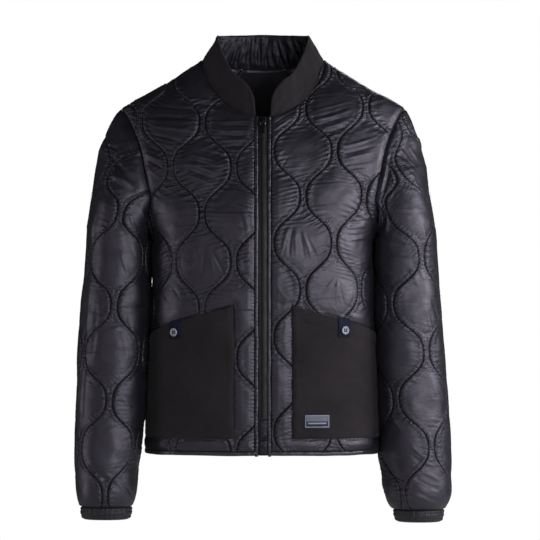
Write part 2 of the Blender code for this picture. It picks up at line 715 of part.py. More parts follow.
def pocket(name, hand, parent, flat, faces, panel_outer):
    """A twill patch pocket: the panel's own points, moved out."""
    outline = pocket_outline()
    keep = [f for f in faces if inside(tuple(np.mean([flat[i] for i in f], axis=0)), outline)]
    used = sorted({i for f in keep for i in f})
    index = {old: new for new, old in enumerate(used)}
    triangles = [tuple(index[i] for i in f) for f in keep]
    normals = [body_normal(FRONT, hand * flat[i][0], flat[i][1]) for i in used]
    low = [panel_outer[i] + n * POCKET_LIFT for i, n in zip(used, normals)]
    high = [panel_outer[i] + n * (POCKET_LIFT + TWILL_WALL) for i, n in zip(used, normals)]
    border = border_loop(triangles)
    return wall(name, "twill", parent, (high, triangles, border), (low, triangles, border))


def border_loop(triangles):
    """The one loop of edges that only one triangle has."""
    edges = {}
    for face in triangles:
        for a, b in zip(face, face[1:] + face[:1]):
            edges[(a, b)] = True
    after = {a: b for a, b in edges if (b, a) not in edges}
    loop = [next(iter(after))]
    while after[loop[-1]] != loop[0]:
        loop.append(after[loop[-1]])
    return loop


# ---------------------------------------------------------------- sleeves
def ring_point(inner, outer, middle, half_depth, share, hand):
    """A point of a level sleeve ring: share 0 at its inner side, 0.25 in front, 0.5 outside."""
    half_width = (outer - inner) / 2
    wide, deep, run = quarter(half_width, half_depth, SLEEVE_POWER, 31)
    side = (share % 1.0) * 4
    part = side % 1
    x_sign, y_sign, back = {0: (-1, -1, True), 1: (1, -1, False),
                            2: (1, 1, True), 3: (-1, 1, False)}[int(side) % 4]
    at = run[-1] * (1 - part if back else part)
    x = (inner + outer) / 2 + x_sign * float(np.interp(at, run, wide))
    y = middle + y_sign * float(np.interp(at, run, deep))
    return hand * x, y


def sleeve_ring(hand, v, share):
    rows = SLEEVE_SECTIONS[hand]
    values = [smooth_table(rows, v, column) for column in (1, 2, 3, 4)]
    x, y = ring_point(*values, share, hand)
    return Vector((x, y, v))


_LOOPS = {}


def armhole_loop(hand):
    """The armhole seam in space: shares of its length from the underarm round by the front."""
    if hand in _LOOPS:
        return _LOOPS[hand]
    front = [body_point(FRONT, hand * u, v) for u, v in armhole_line(FRONT)]
    back = [body_point(BACK, hand * u, v) for u, v in armhole_line(BACK)]
    shares, points = [], []
    for part, offset in ((front, 0.0), (list(reversed(back)), 0.5)):
        run = [0.0]
        for a, b in zip(part, part[1:]):
            run.append(run[-1] + (b - a).length)
        for point, at in zip(part[:-1], run):
            shares.append(offset + 0.5 * at / run[-1])
            points.append(point)
    shares.append(1.0)
    points.append(points[0])
    _LOOPS[hand] = (shares, points)
    return _LOOPS[hand]


def armhole_at(hand, share):
    shares, points = armhole_loop(hand)
    share = share % 1.0
    return Vector([float(np.interp(share, shares, [p[k] for p in points])) for k in range(3)])


def cap_path(hand, share):
    """Hermite ends of the cloth's way from the armhole seam to the first whole ring."""
    start = armhole_at(hand, share)
    end = sleeve_ring(hand, SLEEVE_TOP_Z, share)
    way = end - start
    front = -math.sin(2 * math.pi * share)
    low = 0.5 + 0.5 * math.cos(2 * math.pi * share)
    swell = Vector((hand * (CAP_OUT[hand] + CAP_OUT_UNDERARM * low), CAP_FORWARD * front,
                    CAP_RISE * low))
    leave = way + swell * way.length * CAP_SWELL
    arrive = Vector((0, 0, -1)) * way.length
    return start, end, leave, arrive


def cap_length(hand, share):
    """Cloth length from the first whole ring up to the armhole seam."""
    points = [cap_point(hand, share, k / 12) for k in range(13)]
    return sum((b - a).length for a, b in zip(points, points[1:]))


def cap_point(hand, share, part):
    """Part 0 is the armhole seam and part 1 the first whole ring."""
    start, end, leave, arrive = cap_path(hand, share)
    t = part
    return (start * (2 * t ** 3 - 3 * t ** 2 + 1) + leave * (t ** 3 - 2 * t ** 2 + t)
            + end * (3 * t ** 2 - 2 * t ** 3) + arrive * (t ** 3 - t ** 2))


def sleeve_point(hand, share, v):
    if v <= SLEEVE_TOP_Z:
        return sleeve_ring(hand, v, share)
    part = 1 - (v - SLEEVE_TOP_Z) / cap_length(hand, share)
    return cap_point(hand, share, max(part, -0.2))


def sleeve_normal(hand, share, v):
    top = SLEEVE_TOP_Z + cap_length(hand, share)
    foot = SLEEVE_SECTIONS[hand][-1][0]
    safe = min(max(v, foot + 0.001), top - 0.001)
    place = sleeve_point(hand, share, safe)
    middle = Vector((0, 0, 0))
    for k in range(8):
        middle += sleeve_point(hand, (share + k / 8) % 1.0, min(safe, SLEEVE_TOP_Z)) / 8
    outward = place - middle
    outward.z = max(outward.z, 0)
    step = 0.002
    along = sleeve_point(hand, share + step, safe) - sleeve_point(hand, share - step, safe)
    up = sleeve_point(hand, share, safe + 0.0008) - sleeve_point(hand, share, safe - 0.0008)
    normal = along.cross(up).normalized()
    return normal if normal.dot(outward) >= 0 else -normal


def sleeve_root_normal(hand, place, face):
    """The sleeve's normal where its seam passes a point of the armhole."""
    shares, points = armhole_loop(hand)
    near = min(range(len(points)), key=lambda i: (points[i] - place).length)
    share = shares[near]
    if share in (0.0, 1.0):
        share = 0.004 if face == FRONT else 0.996
    return sleeve_normal(hand, share, SLEEVE_TOP_Z + cap_length(hand, share))


def sleeve_outline(cap, foot):
    """The flat sleeve, counter-clockwise: foot, right edge, cap, left edge."""
    heights = [float(v) for v in np.linspace(foot, cap[0][1], SLEEVE_SIDE_ROWS)]
    low = [(SLEEVE_GIRTH * k / SLEEVE_FOOT_COLUMNS, foot) for k in range(SLEEVE_FOOT_COLUMNS)]
    right = [(SLEEVE_GIRTH, v) for v in heights[:-1]]
    left = [(0.0, v) for v in reversed(heights[1:-1])]
    return low + right + list(reversed(cap)) + left


def rolled(outline, cap_count, chains, fill):
    """Triangles of a flat sleeve with its two straight edges joined.

    Returns the flat points, the triangles, and the loops of points at the foot and the cap.
    """
    flat, faces, border = triangulate(outline, chains, fill)
    cap_start = SLEEVE_FOOT_COLUMNS + SLEEVE_SIDE_ROWS - 1
    joined = {border[SLEEVE_FOOT_COLUMNS]: border[0],
              border[cap_start]: border[cap_start + cap_count - 1]}
    for k in range(1, SLEEVE_SIDE_ROWS - 1):
        joined[border[SLEEVE_FOOT_COLUMNS + k]] = border[-k]
    used, new_faces = {}, []
    for face in faces:
        new_faces.append(tuple(used.setdefault(joined.get(i, i), len(used)) for i in face))
    flats = [flat[i] for i in used]
    low_loop = [used[border[k]] for k in range(SLEEVE_FOOT_COLUMNS)]
    cap_loop = [used[joined.get(border[cap_start + k], border[cap_start + k])]
                for k in range(cap_count - 1)]
    return flats, new_faces, low_loop, cap_loop


def sleeve(name, hand, parent):
    """A quilted sleeve: its flat piece closed round at the underarm seam."""
    middle, swing, neck, wave = QUILTS[name]
    quilt = (middle + 0.25 * SLEEVE_GIRTH, swing, neck, wave)
    foot = SLEEVE_SECTIONS[hand][-1][0]
    cap = [(share * SLEEVE_GIRTH, SLEEVE_TOP_Z + cap_length(hand, share) - HALF_GAP)
           for share in armhole_loop(hand)[0]]
    outline = sleeve_outline(cap, foot)
    flats, outer_faces, low_loop, cap_loop = rolled(
        outline, len(cap), quilt_chains(quilt, outline, None), quilt_fill(quilt, outline, None))
    inner_flats, inner_faces, inner_low, inner_cap = rolled(
        outline, len(cap), [], grid_fill(outline, INNER_STEP, INNER_KEEP_OFF))

    vertices = []
    cap_set = set(cap_loop)
    for i, (u, v) in enumerate(flats):
        share = u / SLEEVE_GIRTH
        way = sleeve_normal(hand, share, v)
        place = sleeve_point(hand, share, v)
        if i in cap_set:
            face = FRONT if share <= 0.5 else BACK
            way = (way + armhole_body_normal(hand, share, face)).normalized()
        if v < foot + 1e-6:
            way = Vector((way.x, way.y, 0)).normalized()
        away = min(cap_distance(cap, u, v), v - foot, u, SLEEVE_GIRTH - u)
        fade = min(max(away, 0) / SEAM_FADE, 1.0) ** SEAM_FADE_POWER
        vertices.append(place + way * (NYLON_WALL + quilt_height(quilt, u, v) * fade))
    shift = len(vertices)
    vertices += [sleeve_point(hand, u / SLEEVE_GIRTH, v) for u, v in inner_flats]
    faces = list(outer_faces) + [tuple(reversed([i + shift for i in f])) for f in inner_faces]
    for outer_ring, inner_ring in ((low_loop, inner_low), (cap_loop, inner_cap)):
        count = len(outer_ring)
        for i in range(count):
            a, b = outer_ring[i], outer_ring[(i + 1) % count]
            c, d = inner_ring[(i + 1) % count] + shift, inner_ring[i] + shift
            faces += [(a, d, c), (a, c, b)]
    return new_object(name, vertices, faces, "nylon", parent)


def cap_distance(cap, u, v):
    return float(np.interp(u, [p[0] for p in cap], [p[1] for p in cap])) - v


def armhole_body_normal(hand, share, face):
    """The body's normal at a share of the armhole seam."""
    line = armhole_line(face)
    shares = armhole_loop(hand)[0]
    if face == FRONT:
        shares = shares[:len(line)]
    else:
        shares = shares[-len(line):]
        line = list(reversed(line))
    u, v = line[round(float(np.interp(share, shares, range(len(line)))))]
    return body_normal(face, hand * u, v)


def cuff(name, hand, parent):
    """An elastic cuff: gathered outside, plain inside."""
    rows = CUFF_SECTIONS[hand]
    middle = SLEEVE_SECTIONS[hand][-1][3]
    columns = CUFF_GATHERS * 2
    outer, inner = [], []
    for z, low, high, half_depth in rows:
        outer_ring, inner_ring = [], []
        for k in range(columns):
            reach = CUFF_WALL + (CUFF_GATHER_DEPTH if k % 2 else 0)
            share = k / columns
            x, y = ring_point(low - reach, high + reach, middle, half_depth + reach, share, hand)
            outer_ring.append(Vector((x, y, z)))
            x, y = ring_point(low, high, middle, half_depth, share, hand)
            inner_ring.append(Vector((x, y, z)))
        outer.append(outer_ring)
        inner.append(inner_ring)
    return loft(name, "elastic_nylon", parent, outer + list(reversed(inner)), closed=True)


# ---------------------------------------------------------------- collar
_NECK = {}


def neck_seam(hand):
    """The neck seam in space, centre front to centre back, with its shares of length."""
    if hand in _NECK:
        return _NECK[hand]
    front = list(reversed(neck_line(FRONT)))
    back = neck_line(BACK)[1:]
    points = [body_point(FRONT, hand * u, v) for u, v in front]
    points += [body_point(BACK, hand * u, v) for u, v in back]
    run = [0.0]
    for a, b in zip(points, points[1:]):
        run.append(run[-1] + (b - a).length)
    _NECK[hand] = ([r / run[-1] for r in run], points, run[-1])
    return _NECK[hand]


def neck_share(face, across):
    """Share of the way along the neck seam of a point of a neckline."""
    front = list(reversed(neck_line(FRONT)))
    back = neck_line(BACK)[1:]
    shares = neck_seam(LEFT)[0]
    line = front if face == FRONT else back
    offset = 0 if face == FRONT else len(front)
    near = min(range(len(line)), key=lambda i: abs(line[i][0] - across))
    return shares[offset + near]


def collar_frame(hand, share):
    """Base point, direction up the collar and outward normal at a share of the seam."""
    shares, points, _ = neck_seam(hand)

    def base(s):
        s = min(max(s, 0), 1)
        return Vector([float(np.interp(s, shares, [p[k] for p in points])) for k in range(3)])

    here = base(share)
    along = (base(share + 0.03) - base(share - 0.03)).normalized()
    lean = [smooth_table(COLLAR_LEAN, share, column) for column in (1, 2, 3)]
    up = Vector((-hand * lean[0], lean[1], lean[2])).normalized()
    normal = along.cross(up).normalized()
    outward = Vector((hand * 0.7 * abs(here.x) * 10, here.y * 10, 0.1))
    if normal.dot(outward) < 0:
        normal = -normal
    return here, up, normal


def collar_shell(name, colour, parent, near, far, puff):
    """A collar layer between two distances from the collar's own surface."""
    total = neck_seam(LEFT)[2]
    levels = COLLAR_LEVELS
    runs = COLLAR_CORNER_RUNS + [float(s) for s in np.linspace(COLLAR_NEXT_RUN, total, COLLAR_COLUMNS)]
    columns = [(RIGHT, run) for run in runs] + [(LEFT, run) for run in reversed(runs[:-1])]
    near_rows, far_rows = [], []
    for level in levels:
        near_row, far_row = [], []
        for hand, run in columns:
            here, up, normal = collar_frame(hand, run / total)
            if run < COLLAR_CORNER:
                drop = COLLAR_CORNER - math.sqrt(COLLAR_CORNER ** 2 - (COLLAR_CORNER - run) ** 2)
            else:
                drop = 0.0
            full = smooth_table(COLLAR_HEIGHTS, run / total, 1)
            height = SEAM_GAP + level * (full - drop - SEAM_GAP)
            wave = 0.5 + 0.5 * math.cos(2 * math.pi * run / FACING_WAVE)
            swell = puff * math.sin(math.pi * level) * wave
            away = far - swell if far < near else far + swell
            far_height = height + (COLLAR_FOOT_BEVEL if level == 0 else 0)
            near_row.append(here + up * height + normal * near)
            far_row.append(here + up * far_height + normal * away)
        near_rows.append(near_row)
        far_rows.append(far_row)
    width = len(columns)
    vertices = [p for row in near_rows for p in row] + [p for row in far_rows for p in row]
    shift = width * len(levels)
    faces = []
    for i in range(len(levels) - 1):
        for j in range(width - 1):
            a, b = i * width + j, i * width + j + 1
            c, d = b + width, a + width
            faces.append((a, b, c, d))
            faces.append((d + shift, c + shift, b + shift, a + shift))
    loop = list(range(width))
    loop += [i * width + width - 1 for i in range(1, len(levels))]
    loop += [(len(levels) - 1) * width + j for j in range(width - 2, -1, -1)]
    loop += [i * width for i in range(len(levels) - 2, 0, -1)]
    for a, b in zip(loop, loop[1:] + loop[:1]):
        faces.append((b, a, a + shift, b + shift))
    return new_object(name, vertices, faces, colour, parent)


# ---------------------------------------------------------------- trim on the body
def on_body(face, u, v, height):
    return body_point(face, u, v) + body_normal(face, u, v) * height


def strip(name, colour, parent, section, heights, hand):
    """A strip up a front: section points (distance from centre, height off the cloth)."""
    rings = [[on_body(FRONT, hand * u, v, h) for u, h in section] for v in heights]
    return loft(name, colour, parent, rings)


def placket(parent):
    """The bindings, the zip between them and the cloth under its end."""
    top = body_v(FRONT, PLACKET_HALF, ZIP_TOP) - SEAM_GAP
    binding_run = [float(v) for v in np.linspace(HEM_Z, top, PLACKET_ROWS)]
    tape_run = [float(v) for v in np.linspace(ZIP_END, top, ZIP_ROWS)]
    for hand, side in ((RIGHT, "right"), (LEFT, "left")):
        strip(f"front_binding_{side}", "nylon", parent, BINDING_SECTION, binding_run, hand)
        strip(f"zip_tape_{side}", "zip_tape", parent, TAPE_SECTION, tape_run, hand)
    chain_top = body_v(FRONT, 0, CHAIN_TOP)
    chain_run = [float(v) for v in np.linspace(ZIP_END + 0.001, chain_top, ZIP_ROWS)]
    strip("zip_chain", "zip_chain", parent, CHAIN_SECTION, chain_run, LEFT)
    rings = []
    for v, high in FOOT_ROWS:
        shoulder = high * 0.7
        section = [(-TAPE_OUTER, 0.0), (TAPE_OUTER, 0.0), (TAPE_OUTER, shoulder),
                   (TAPE_OUTER * 0.5, high), (-TAPE_OUTER * 0.5, high), (-TAPE_OUTER, shoulder)]
        rings.append([on_body(FRONT, u, v, h) for u, h in section])
    loft("placket_foot", "nylon", parent, rings)


def hem_binding(name, face, start, end, parent):
    """A narrow bound hem under a panel, from one distance across to another."""
    count = round(abs(end - start) / HEM_STEP)
    rings = [[on_body(face, float(u), v, h) for v, h in HEM_SECTION]
             for u in np.linspace(start, end, count + 1)]
    return loft(name, "nylon", parent, rings)


def patch(name, colour, parent, hand, left, right, foot, top, low, high, round_corner=0.0):
    """A small flat cloth on a front, between two heights off the body's surface."""
    columns = np.linspace(left, right, 5)
    rows = np.linspace(foot, top, 6)
    rings = []
    for i, v in enumerate(rows):
        narrow = round_corner if i == 0 else 0.0
        us = [u + narrow * (1 if u < (left + right) / 2 else -1) if k in (0, 4) else u
              for k, u in enumerate(columns)]
        ring = [on_body(FRONT, hand * float(u), float(v), low) for u in us]
        ring += [on_body(FRONT, hand * float(u), float(v), high) for u in reversed(us)]
        rings.append(ring)
    return loft(name, colour, parent, rings)


def pocket_trim(parent):
    """Closing tabs, buttons and the bare label on the pockets."""
    low = POCKET_OUT + SEAM_GAP
    for hand, side in ((RIGHT, "right"), (LEFT, "left")):
        middle = TAB_MIDDLE[hand]
        top = pocket_top(middle)
        patch(f"pocket_tab_{side}", "navy_tape", parent, hand, middle - TAB_WIDTH / 2,
              middle + TAB_WIDTH / 2, top - TAB_BELOW, top + TAB_ABOVE, low, low + TAB_WALL,
              TAB_CORNER)
        button(f"pocket_button_{side}", hand, middle, top - BUTTON_DROP,
               low + TAB_WALL + SEAM_GAP, parent)
    patch("pocket_label", "label_cloth", parent, LEFT, LABEL_EDGES[0], LABEL_EDGES[1],
          LABEL_FOOT, LABEL_TOP, low, low + LABEL_WALL)


def hole_cutter(name, parent):
    """Four thin columns where the button's holes go."""
    sides = BUTTON_HOLE_SIDES
    points, faces = [], []
    for across in (-BUTTON_HOLE_SPREAD, BUTTON_HOLE_SPREAD):
        for up in (-BUTTON_HOLE_SPREAD, BUTTON_HOLE_SPREAD):
            base = len(points)
            for level in BUTTON_HOLE_REACH:
                for k in range(sides):
                    turn = 2 * math.pi * k / sides
                    points.append(Vector((across + BUTTON_HOLE_RADIUS * math.cos(turn),
                                          up + BUTTON_HOLE_RADIUS * math.sin(turn), level)))
            faces.append(tuple(base + k for k in reversed(range(sides))))
            faces.append(tuple(base + sides + k for k in range(sides)))
            for k in range(sides):
                n = (k + 1) % sides
                faces.append((base + k, base + n, base + sides + n, base + sides + k))
    return new_object(name, points, faces, "button", parent)


def combine(obj, other, operation):
    """Cut another solid away from an object, or add it, and hide that other solid."""
    other.hide_render = True
    other.display_type = "WIRE"
    work = obj.modifiers.new("combine", "BOOLEAN")
    work.object = other
    work.operation = operation
    work.solver = "EXACT"


def button(name, hand, u, v, height, parent):
    """A round four-hole button with a raised rim."""
    profile = BUTTON_PROFILE
    segments = BUTTON_SEGMENTS
    vertices = [Vector((0, 0, profile[0][1]))]
    for radius, level in profile[1:-1]:
        for k in range(segments):
            turn = 2 * math.pi * k / segments
            vertices.append(Vector((radius * math.cos(turn), radius * math.sin(turn), level)))
    vertices.append(Vector((0, 0, profile[-1][1])))
    faces = []
    last = len(vertices) - 1
    for k in range(segments):
        n = (k + 1) % segments
        faces.append((0, 1 + n, 1 + k))
        for ring in range(len(profile) - 3):
            a = 1 + ring * segments
            faces.append((a + k, a + n, a + segments + n, a + segments + k))
        a = 1 + (len(profile) - 3) * segments
        faces.append((a + k, a + n, last))
    obj = new_object(name, vertices, faces, "button", parent)
    cutter = hole_cutter(f"{name}_holes", parent)
    combine(obj, cutter, "DIFFERENCE")
    frame = cloth_frame(hand * u, v, height)
    obj.matrix_world = frame
    cutter.matrix_world = frame
    return obj


def cloth_frame(u, v, height):
    """A local frame on the front's cloth: X across, Y up the cloth, Z off it."""
    normal = body_normal(FRONT, u, v)
    side = Vector((0, 0, 1)).cross(normal).normalized()
    upward = normal.cross(side).normalized()
    place = body_point(FRONT, u, v) + normal * height
    rows = [(side[k], upward[k], normal[k], place[k]) for k in range(3)]
    return Matrix((rows[0], rows[1], rows[2], (0, 0, 0, 1)))


# ---------------------------------------------------------------- zip slider and pull tab

def extruded(name, colour, parent, outline, half_width):
    """A plate from an outline of (up, off) points, extruded across by half a width each way."""
    rings = [[Vector((x, up, off)) for up, off in outline] for x in (-half_width, half_width)]
    return loft(name, colour, parent, rings)


def slider(parent):
    frame = cloth_frame(0.0, body_v(FRONT, 0, SLIDER_Z), 0.0)
    edge = SLIDER_TOP - SLIDER_ROUND
    rings = []
    for up, wide in SLIDER_ROWS:
        section = [(-wide, SLIDER_SEAT), (wide, SLIDER_SEAT), (wide, edge),
                   (wide - SLIDER_ROUND, SLIDER_TOP), (SLIDER_ROUND - wide, SLIDER_TOP), (-wide, edge)]
        rings.append([Vector((x, up, z)) for x, z in section])
    block = loft("zip_slider", "zip_metal", parent, rings)
    long, window = CROWN_HALF_LENGTH, CROWN_WINDOW_HALF
    arch = [(-long, CROWN_FOOT), (-window, CROWN_FOOT), (-window, CROWN_WINDOW_TOP),
            (window, CROWN_WINDOW_TOP), (window, CROWN_FOOT), (long, CROWN_FOOT),
            (long, CROWN_TOP - CROWN_ROUND), (long - CROWN_ROUND, CROWN_TOP),
            (CROWN_ROUND - long, CROWN_TOP), (-long, CROWN_TOP - CROWN_ROUND)]
    crown = extruded("zip_crown", "zip_metal", parent, arch, CROWN_HALF)
    combine(block, crown, "UNION")
    block.matrix_world = frame
    crown.matrix_world = frame


def pull_tab(parent):
    """The pull tab hangs by its bar in the slider's crown and swings about X."""
    half = PULL_WALL / 2
    rings = []
    for line, levels in ((PULL_EDGE, (-half, half)), (PULL_HOLE, (half, -half))):
        ring = [(-x, y) for x, y in reversed(line)] + list(line)
        for level in levels:
            rings.append([Vector((x, y, level)) for x, y in ring])
    obj = loft("zip_pull_tab", "zip_metal", parent, rings, closed=True)
    obj.matrix_world = cloth_frame(0.0, body_v(FRONT, 0, SLIDER_Z), PULL_HEIGHT)


# ---------------------------------------------------------------- assembly
def build():
    for old in list(bpy.data.objects):
        bpy.data.objects.remove(old, do_unlink=True)
    jacket = bpy.data.objects.new("jacket", None)
    bpy.context.scene.collection.objects.link(jacket)

    for hand, side in ((RIGHT, "right"), (LEFT, "left")):
        flat, faces, outer = panel(f"front_{side}", FRONT, hand, jacket)
        pocket(f"pocket_{side}", hand, jacket, flat, faces, outer)
        sleeve(f"sleeve_{side}", hand, jacket)
        cuff(f"cuff_{side}", hand, jacket)
        reach = side_seam(FRONT, PANEL_HEM_Z) - HALF_GAP
        start, end = hand * PLACKET_HALF, hand * reach
        hem_binding(f"hem_binding_{side}", FRONT, min(start, end), max(start, end), jacket)
    panel("back", BACK, LEFT, jacket)
    back_reach = side_seam(BACK, PANEL_HEM_Z) - HALF_GAP
    hem_binding("hem_binding_back", BACK, -back_reach, back_reach, jacket)
    collar_shell("collar", "twill", jacket, 0.0, TWILL_WALL, 0.0)
    collar_shell("collar_facing", "nylon", jacket, -SEAM_GAP, -FACING_DEPTH, FACING_PUFF)
    placket(jacket)
    pocket_trim(jacket)
    slider(jacket)
    pull_tab(jacket)


build()
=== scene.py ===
"""Looks of the quilted jacket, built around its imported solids.

Each cloth piece is a grid in cloth coordinates: u runs across the cloth from the centre line
and v runs up it, both in metres. The quilting is relaxed as real cloth on a flat grid, pinned
along its stitch lines, and the result is carried onto the same body surface as the solids.

World: +X is the wearer's left, -Y is the front, +Z is up.
"""
import json
import math
from concurrent.futures import ThreadPoolExecutor
from functools import lru_cache
from itertools import groupby
from operator import itemgetter

import bmesh
import bpy
import numpy as np
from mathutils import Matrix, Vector, geometry

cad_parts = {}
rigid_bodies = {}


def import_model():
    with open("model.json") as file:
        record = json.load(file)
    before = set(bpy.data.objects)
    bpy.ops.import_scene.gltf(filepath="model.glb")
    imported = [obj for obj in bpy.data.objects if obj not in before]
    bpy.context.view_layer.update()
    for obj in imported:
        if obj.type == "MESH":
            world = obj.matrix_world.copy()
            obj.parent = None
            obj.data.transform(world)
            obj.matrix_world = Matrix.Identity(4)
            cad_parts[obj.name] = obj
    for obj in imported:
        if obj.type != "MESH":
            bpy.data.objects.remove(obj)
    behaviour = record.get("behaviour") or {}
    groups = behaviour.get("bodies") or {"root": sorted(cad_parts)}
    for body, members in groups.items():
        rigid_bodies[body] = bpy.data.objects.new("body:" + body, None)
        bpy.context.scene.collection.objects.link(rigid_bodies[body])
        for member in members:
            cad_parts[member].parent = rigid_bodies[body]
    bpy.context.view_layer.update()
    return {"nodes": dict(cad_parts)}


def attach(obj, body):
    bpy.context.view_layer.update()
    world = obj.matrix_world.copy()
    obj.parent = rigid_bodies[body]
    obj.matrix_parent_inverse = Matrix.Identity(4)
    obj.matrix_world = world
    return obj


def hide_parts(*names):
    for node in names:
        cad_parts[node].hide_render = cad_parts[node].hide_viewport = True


for old in list(bpy.data.objects):
    bpy.data.objects.remove(old, do_unlink=True)
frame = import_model()

# ---------------------------------------------------------------- sizes shared with the solids
FRONT, BACK = -1, 1
RIGHT, LEFT = -1, 1                 # the wearer's right and left hand
SIDES = ((RIGHT, "right"), (LEFT, "left"))

HALF_GAP = 0.00015
NYLON_WALL = 0.002
HEM_Z = -0.633
PANEL_HEM_Z = -0.6265
CHEST_Z = -0.290
SECTION_POWER = 2.6
# Level sections of the body: height, half width, depth in front, depth behind
BODY_SECTIONS = [
    (-0.640, 0.1880, 0.1200, 0.1130),
    (-0.600, 0.1865, 0.1235, 0.1150),
    (-0.442, 0.1795, 0.1265, 0.1185),
    (-0.340, 0.1750, 0.1255, 0.1215),
    (-0.290, 0.1740, 0.1245, 0.1220),
]
NECK_HALF = 0.098
SHOULDER_HALF = 0.229
SHOULDER_SLOPE = 0.59
SHOULDER_DIP = 0.0035
# Power of the profile from chest to shoulder: distance across, power in front, power behind
PROFILE_POWERS = [
    (0.000, 1.42, 1.66),
    (0.080, 1.36, 1.62),
    (0.140, 1.75, 1.95),
    (0.190, 2.35, 2.30),
    (0.280, 2.40, 2.40),
]
FLARE_START = 1.2
FLARE_HASTE = 4

PLACKET_HALF = 0.012
UNDERARM_Z = -0.268
# Neckline and armhole seam: distance from the centre line, height
NECKLINES = {
    FRONT: [(0.0980, 0.0000), (0.0972, -0.0130), (0.0915, -0.0310), (0.0800, -0.0480),
            (0.0640, -0.0662), (0.0460, -0.0792), (0.0280, -0.0872), (0.0120, -0.0912)],
    BACK: [(0.0980, 0.0000), (0.0940, -0.0022), (0.0820, -0.0055), (0.0640, -0.0085),
           (0.0430, -0.0103), (0.0215, -0.0112), (0.0000, -0.0115)],
}
ARMHOLES = {
    FRONT: [(0.2290, -0.0773), (0.2120, -0.1030), (0.1980, -0.1400), (0.1915, -0.1800),
            (0.1885, -0.2090), (0.1890, -0.2290), (0.2030, -0.2480), (0.2320, -0.2620)],
    BACK: [(0.2290, -0.0773), (0.2160, -0.1030), (0.2050, -0.1400), (0.1985, -0.1800),
           (0.1960, -0.2090), (0.1975, -0.2290), (0.2110, -0.2480), (0.2350, -0.2620)],
}

LINE_STEP = 0.0507
LINE_SWING = 0.0204
SLEEVE_GIRTH = 0.353
# Each piece's quilting: middle of line 0, its first swing, height of a neck, length of a wave
QUILTS = {
    "front_right": (0.0210, -1, -0.400, 0.153),
    "front_left": (0.0380, 1, -0.369, 0.150),
    "back": (0.02535, 1, -0.330, 0.152),
    "sleeve_right": (0.02535 + SLEEVE_GIRTH / 4, -1, -0.3937, 0.152),
    "sleeve_left": (0.0470 + SLEEVE_GIRTH / 4, -1, -0.468, 0.152),
}

# Sleeves, hand by hand: height, inner and outer edge, middle in depth, half depth
SLEEVE_SECTIONS = {
    RIGHT: [(-0.300, 0.1860, 0.2815, -0.008, 0.0670),
            (-0.380, 0.1875, 0.2875, -0.014, 0.0660),
            (-0.467, 0.1898, 0.2930, -0.019, 0.0640),
            (-0.545, 0.1940, 0.2975, -0.024, 0.0610),
            (-0.615, 0.1985, 0.2995, -0.030, 0.0580),
            (-0.665, 0.2060, 0.2985, -0.035, 0.0550),
            (-0.700, 0.2095, 0.2950, -0.039, 0.0510),
            (-0.7165, 0.2135, 0.2905, -0.041, 0.0440)],
    LEFT: [(-0.300, 0.1860, 0.2765, -0.008, 0.0670),
           (-0.380, 0.1870, 0.2825, -0.014, 0.0660),
           (-0.467, 0.1885, 0.2890, -0.019, 0.0640),
           (-0.545, 0.1922, 0.2950, -0.024, 0.0610),
           (-0.615, 0.1955, 0.2985, -0.030, 0.0590),
           (-0.665, 0.1995, 0.2990, -0.035, 0.0570),
           (-0.705, 0.2035, 0.2965, -0.039, 0.0520),
           (-0.7205, 0.2120, 0.2885, -0.041, 0.0440)],
}
SLEEVE_TOP_Z = -0.300
SLEEVE_POWER = 2.2
CAP_OUT = {RIGHT: 0.24, LEFT: 0.12}
CAP_OUT_UNDERARM = 0.25
CAP_FORWARD = 0.20
CAP_RISE = 0.05
CAP_SWELL = 1.6
# Cuffs: height, inner and outer edge, half depth
CUFF_SECTIONS = {
    RIGHT: [(-0.7168, 0.2140, 0.2895, 0.0435),
            (-0.7270, 0.2150, 0.2890, 0.0430),
            (-0.7370, 0.2175, 0.2870, 0.0400)],
    LEFT: [(-0.7208, 0.2130, 0.2880, 0.0435),
           (-0.7310, 0.2145, 0.2865, 0.0430),
           (-0.7408, 0.2170, 0.2845, 0.0400)],
}

# Collar along the half neck seam: share of the way, lean in, lean back, rise
COLLAR_LEAN = [
    (0.00, -0.06, 0.10, 0.99),
    (0.15, 0.10, 0.08, 0.99),
    (0.32, 0.36, 0.06, 0.92),
    (0.47, 0.49, 0.04, 0.86),
    (0.62, 0.49, 0.00, 0.86),
    (0.82, 0.29, -0.10, 0.94),
    (1.00, 0.00, -0.16, 0.98),
]
COLLAR_HEIGHTS = [(0.00, 0.0530), (0.45, 0.0545), (0.70, 0.0570), (1.00, 0.0585)]
COLLAR_CORNER = 0.030

POCKET_INNER = 0.0465
POCKET_SIDE = 0.0220
POCKET_TOP = -0.3940
POCKET_FALL = 0.27
POCKET_HEM_Z = -0.6050
TAB_MIDDLE = {RIGHT: 0.1420, LEFT: 0.1300}
TAB_WIDTH = 0.0215
TAB_ABOVE = 0.0030
TAB_BELOW = 0.0280
BUTTON_DROP = 0.0165
LABEL_EDGES = (0.0655, 0.1055)
LABEL_TOP = -0.5665
LABEL_FOOT = -0.5875

BINDING_INNER = 0.0075
ZIP_TOP = -0.0922
ZIP_END = -0.5750
CHAIN_TOP = -0.0975
FOOT_SEAM_Z = -0.6050

# ---------------------------------------------------------------- fineness of the looks
FINER = 3                           # the outer face has this many steps to one of the inner's
EDGE_WALL = 0.0006                  # a panel's wall is this thin at its seams
EDGE_ROUND = 0.0032                 # and full this far in


# ---------------------------------------------------------------- lines and tables
def run_of(line):
    """Length along a flat line at each of its points."""
    return np.concatenate([[0], np.cumsum(np.hypot(*np.diff(line, axis=0).T))])


def run_in_space(points):
    """Length along a line of Vectors at each of its points."""
    run = [0.0]
    for a, b in zip(points, points[1:]):
        run.append(run[-1] + (b - a).length)
    return np.array(run)


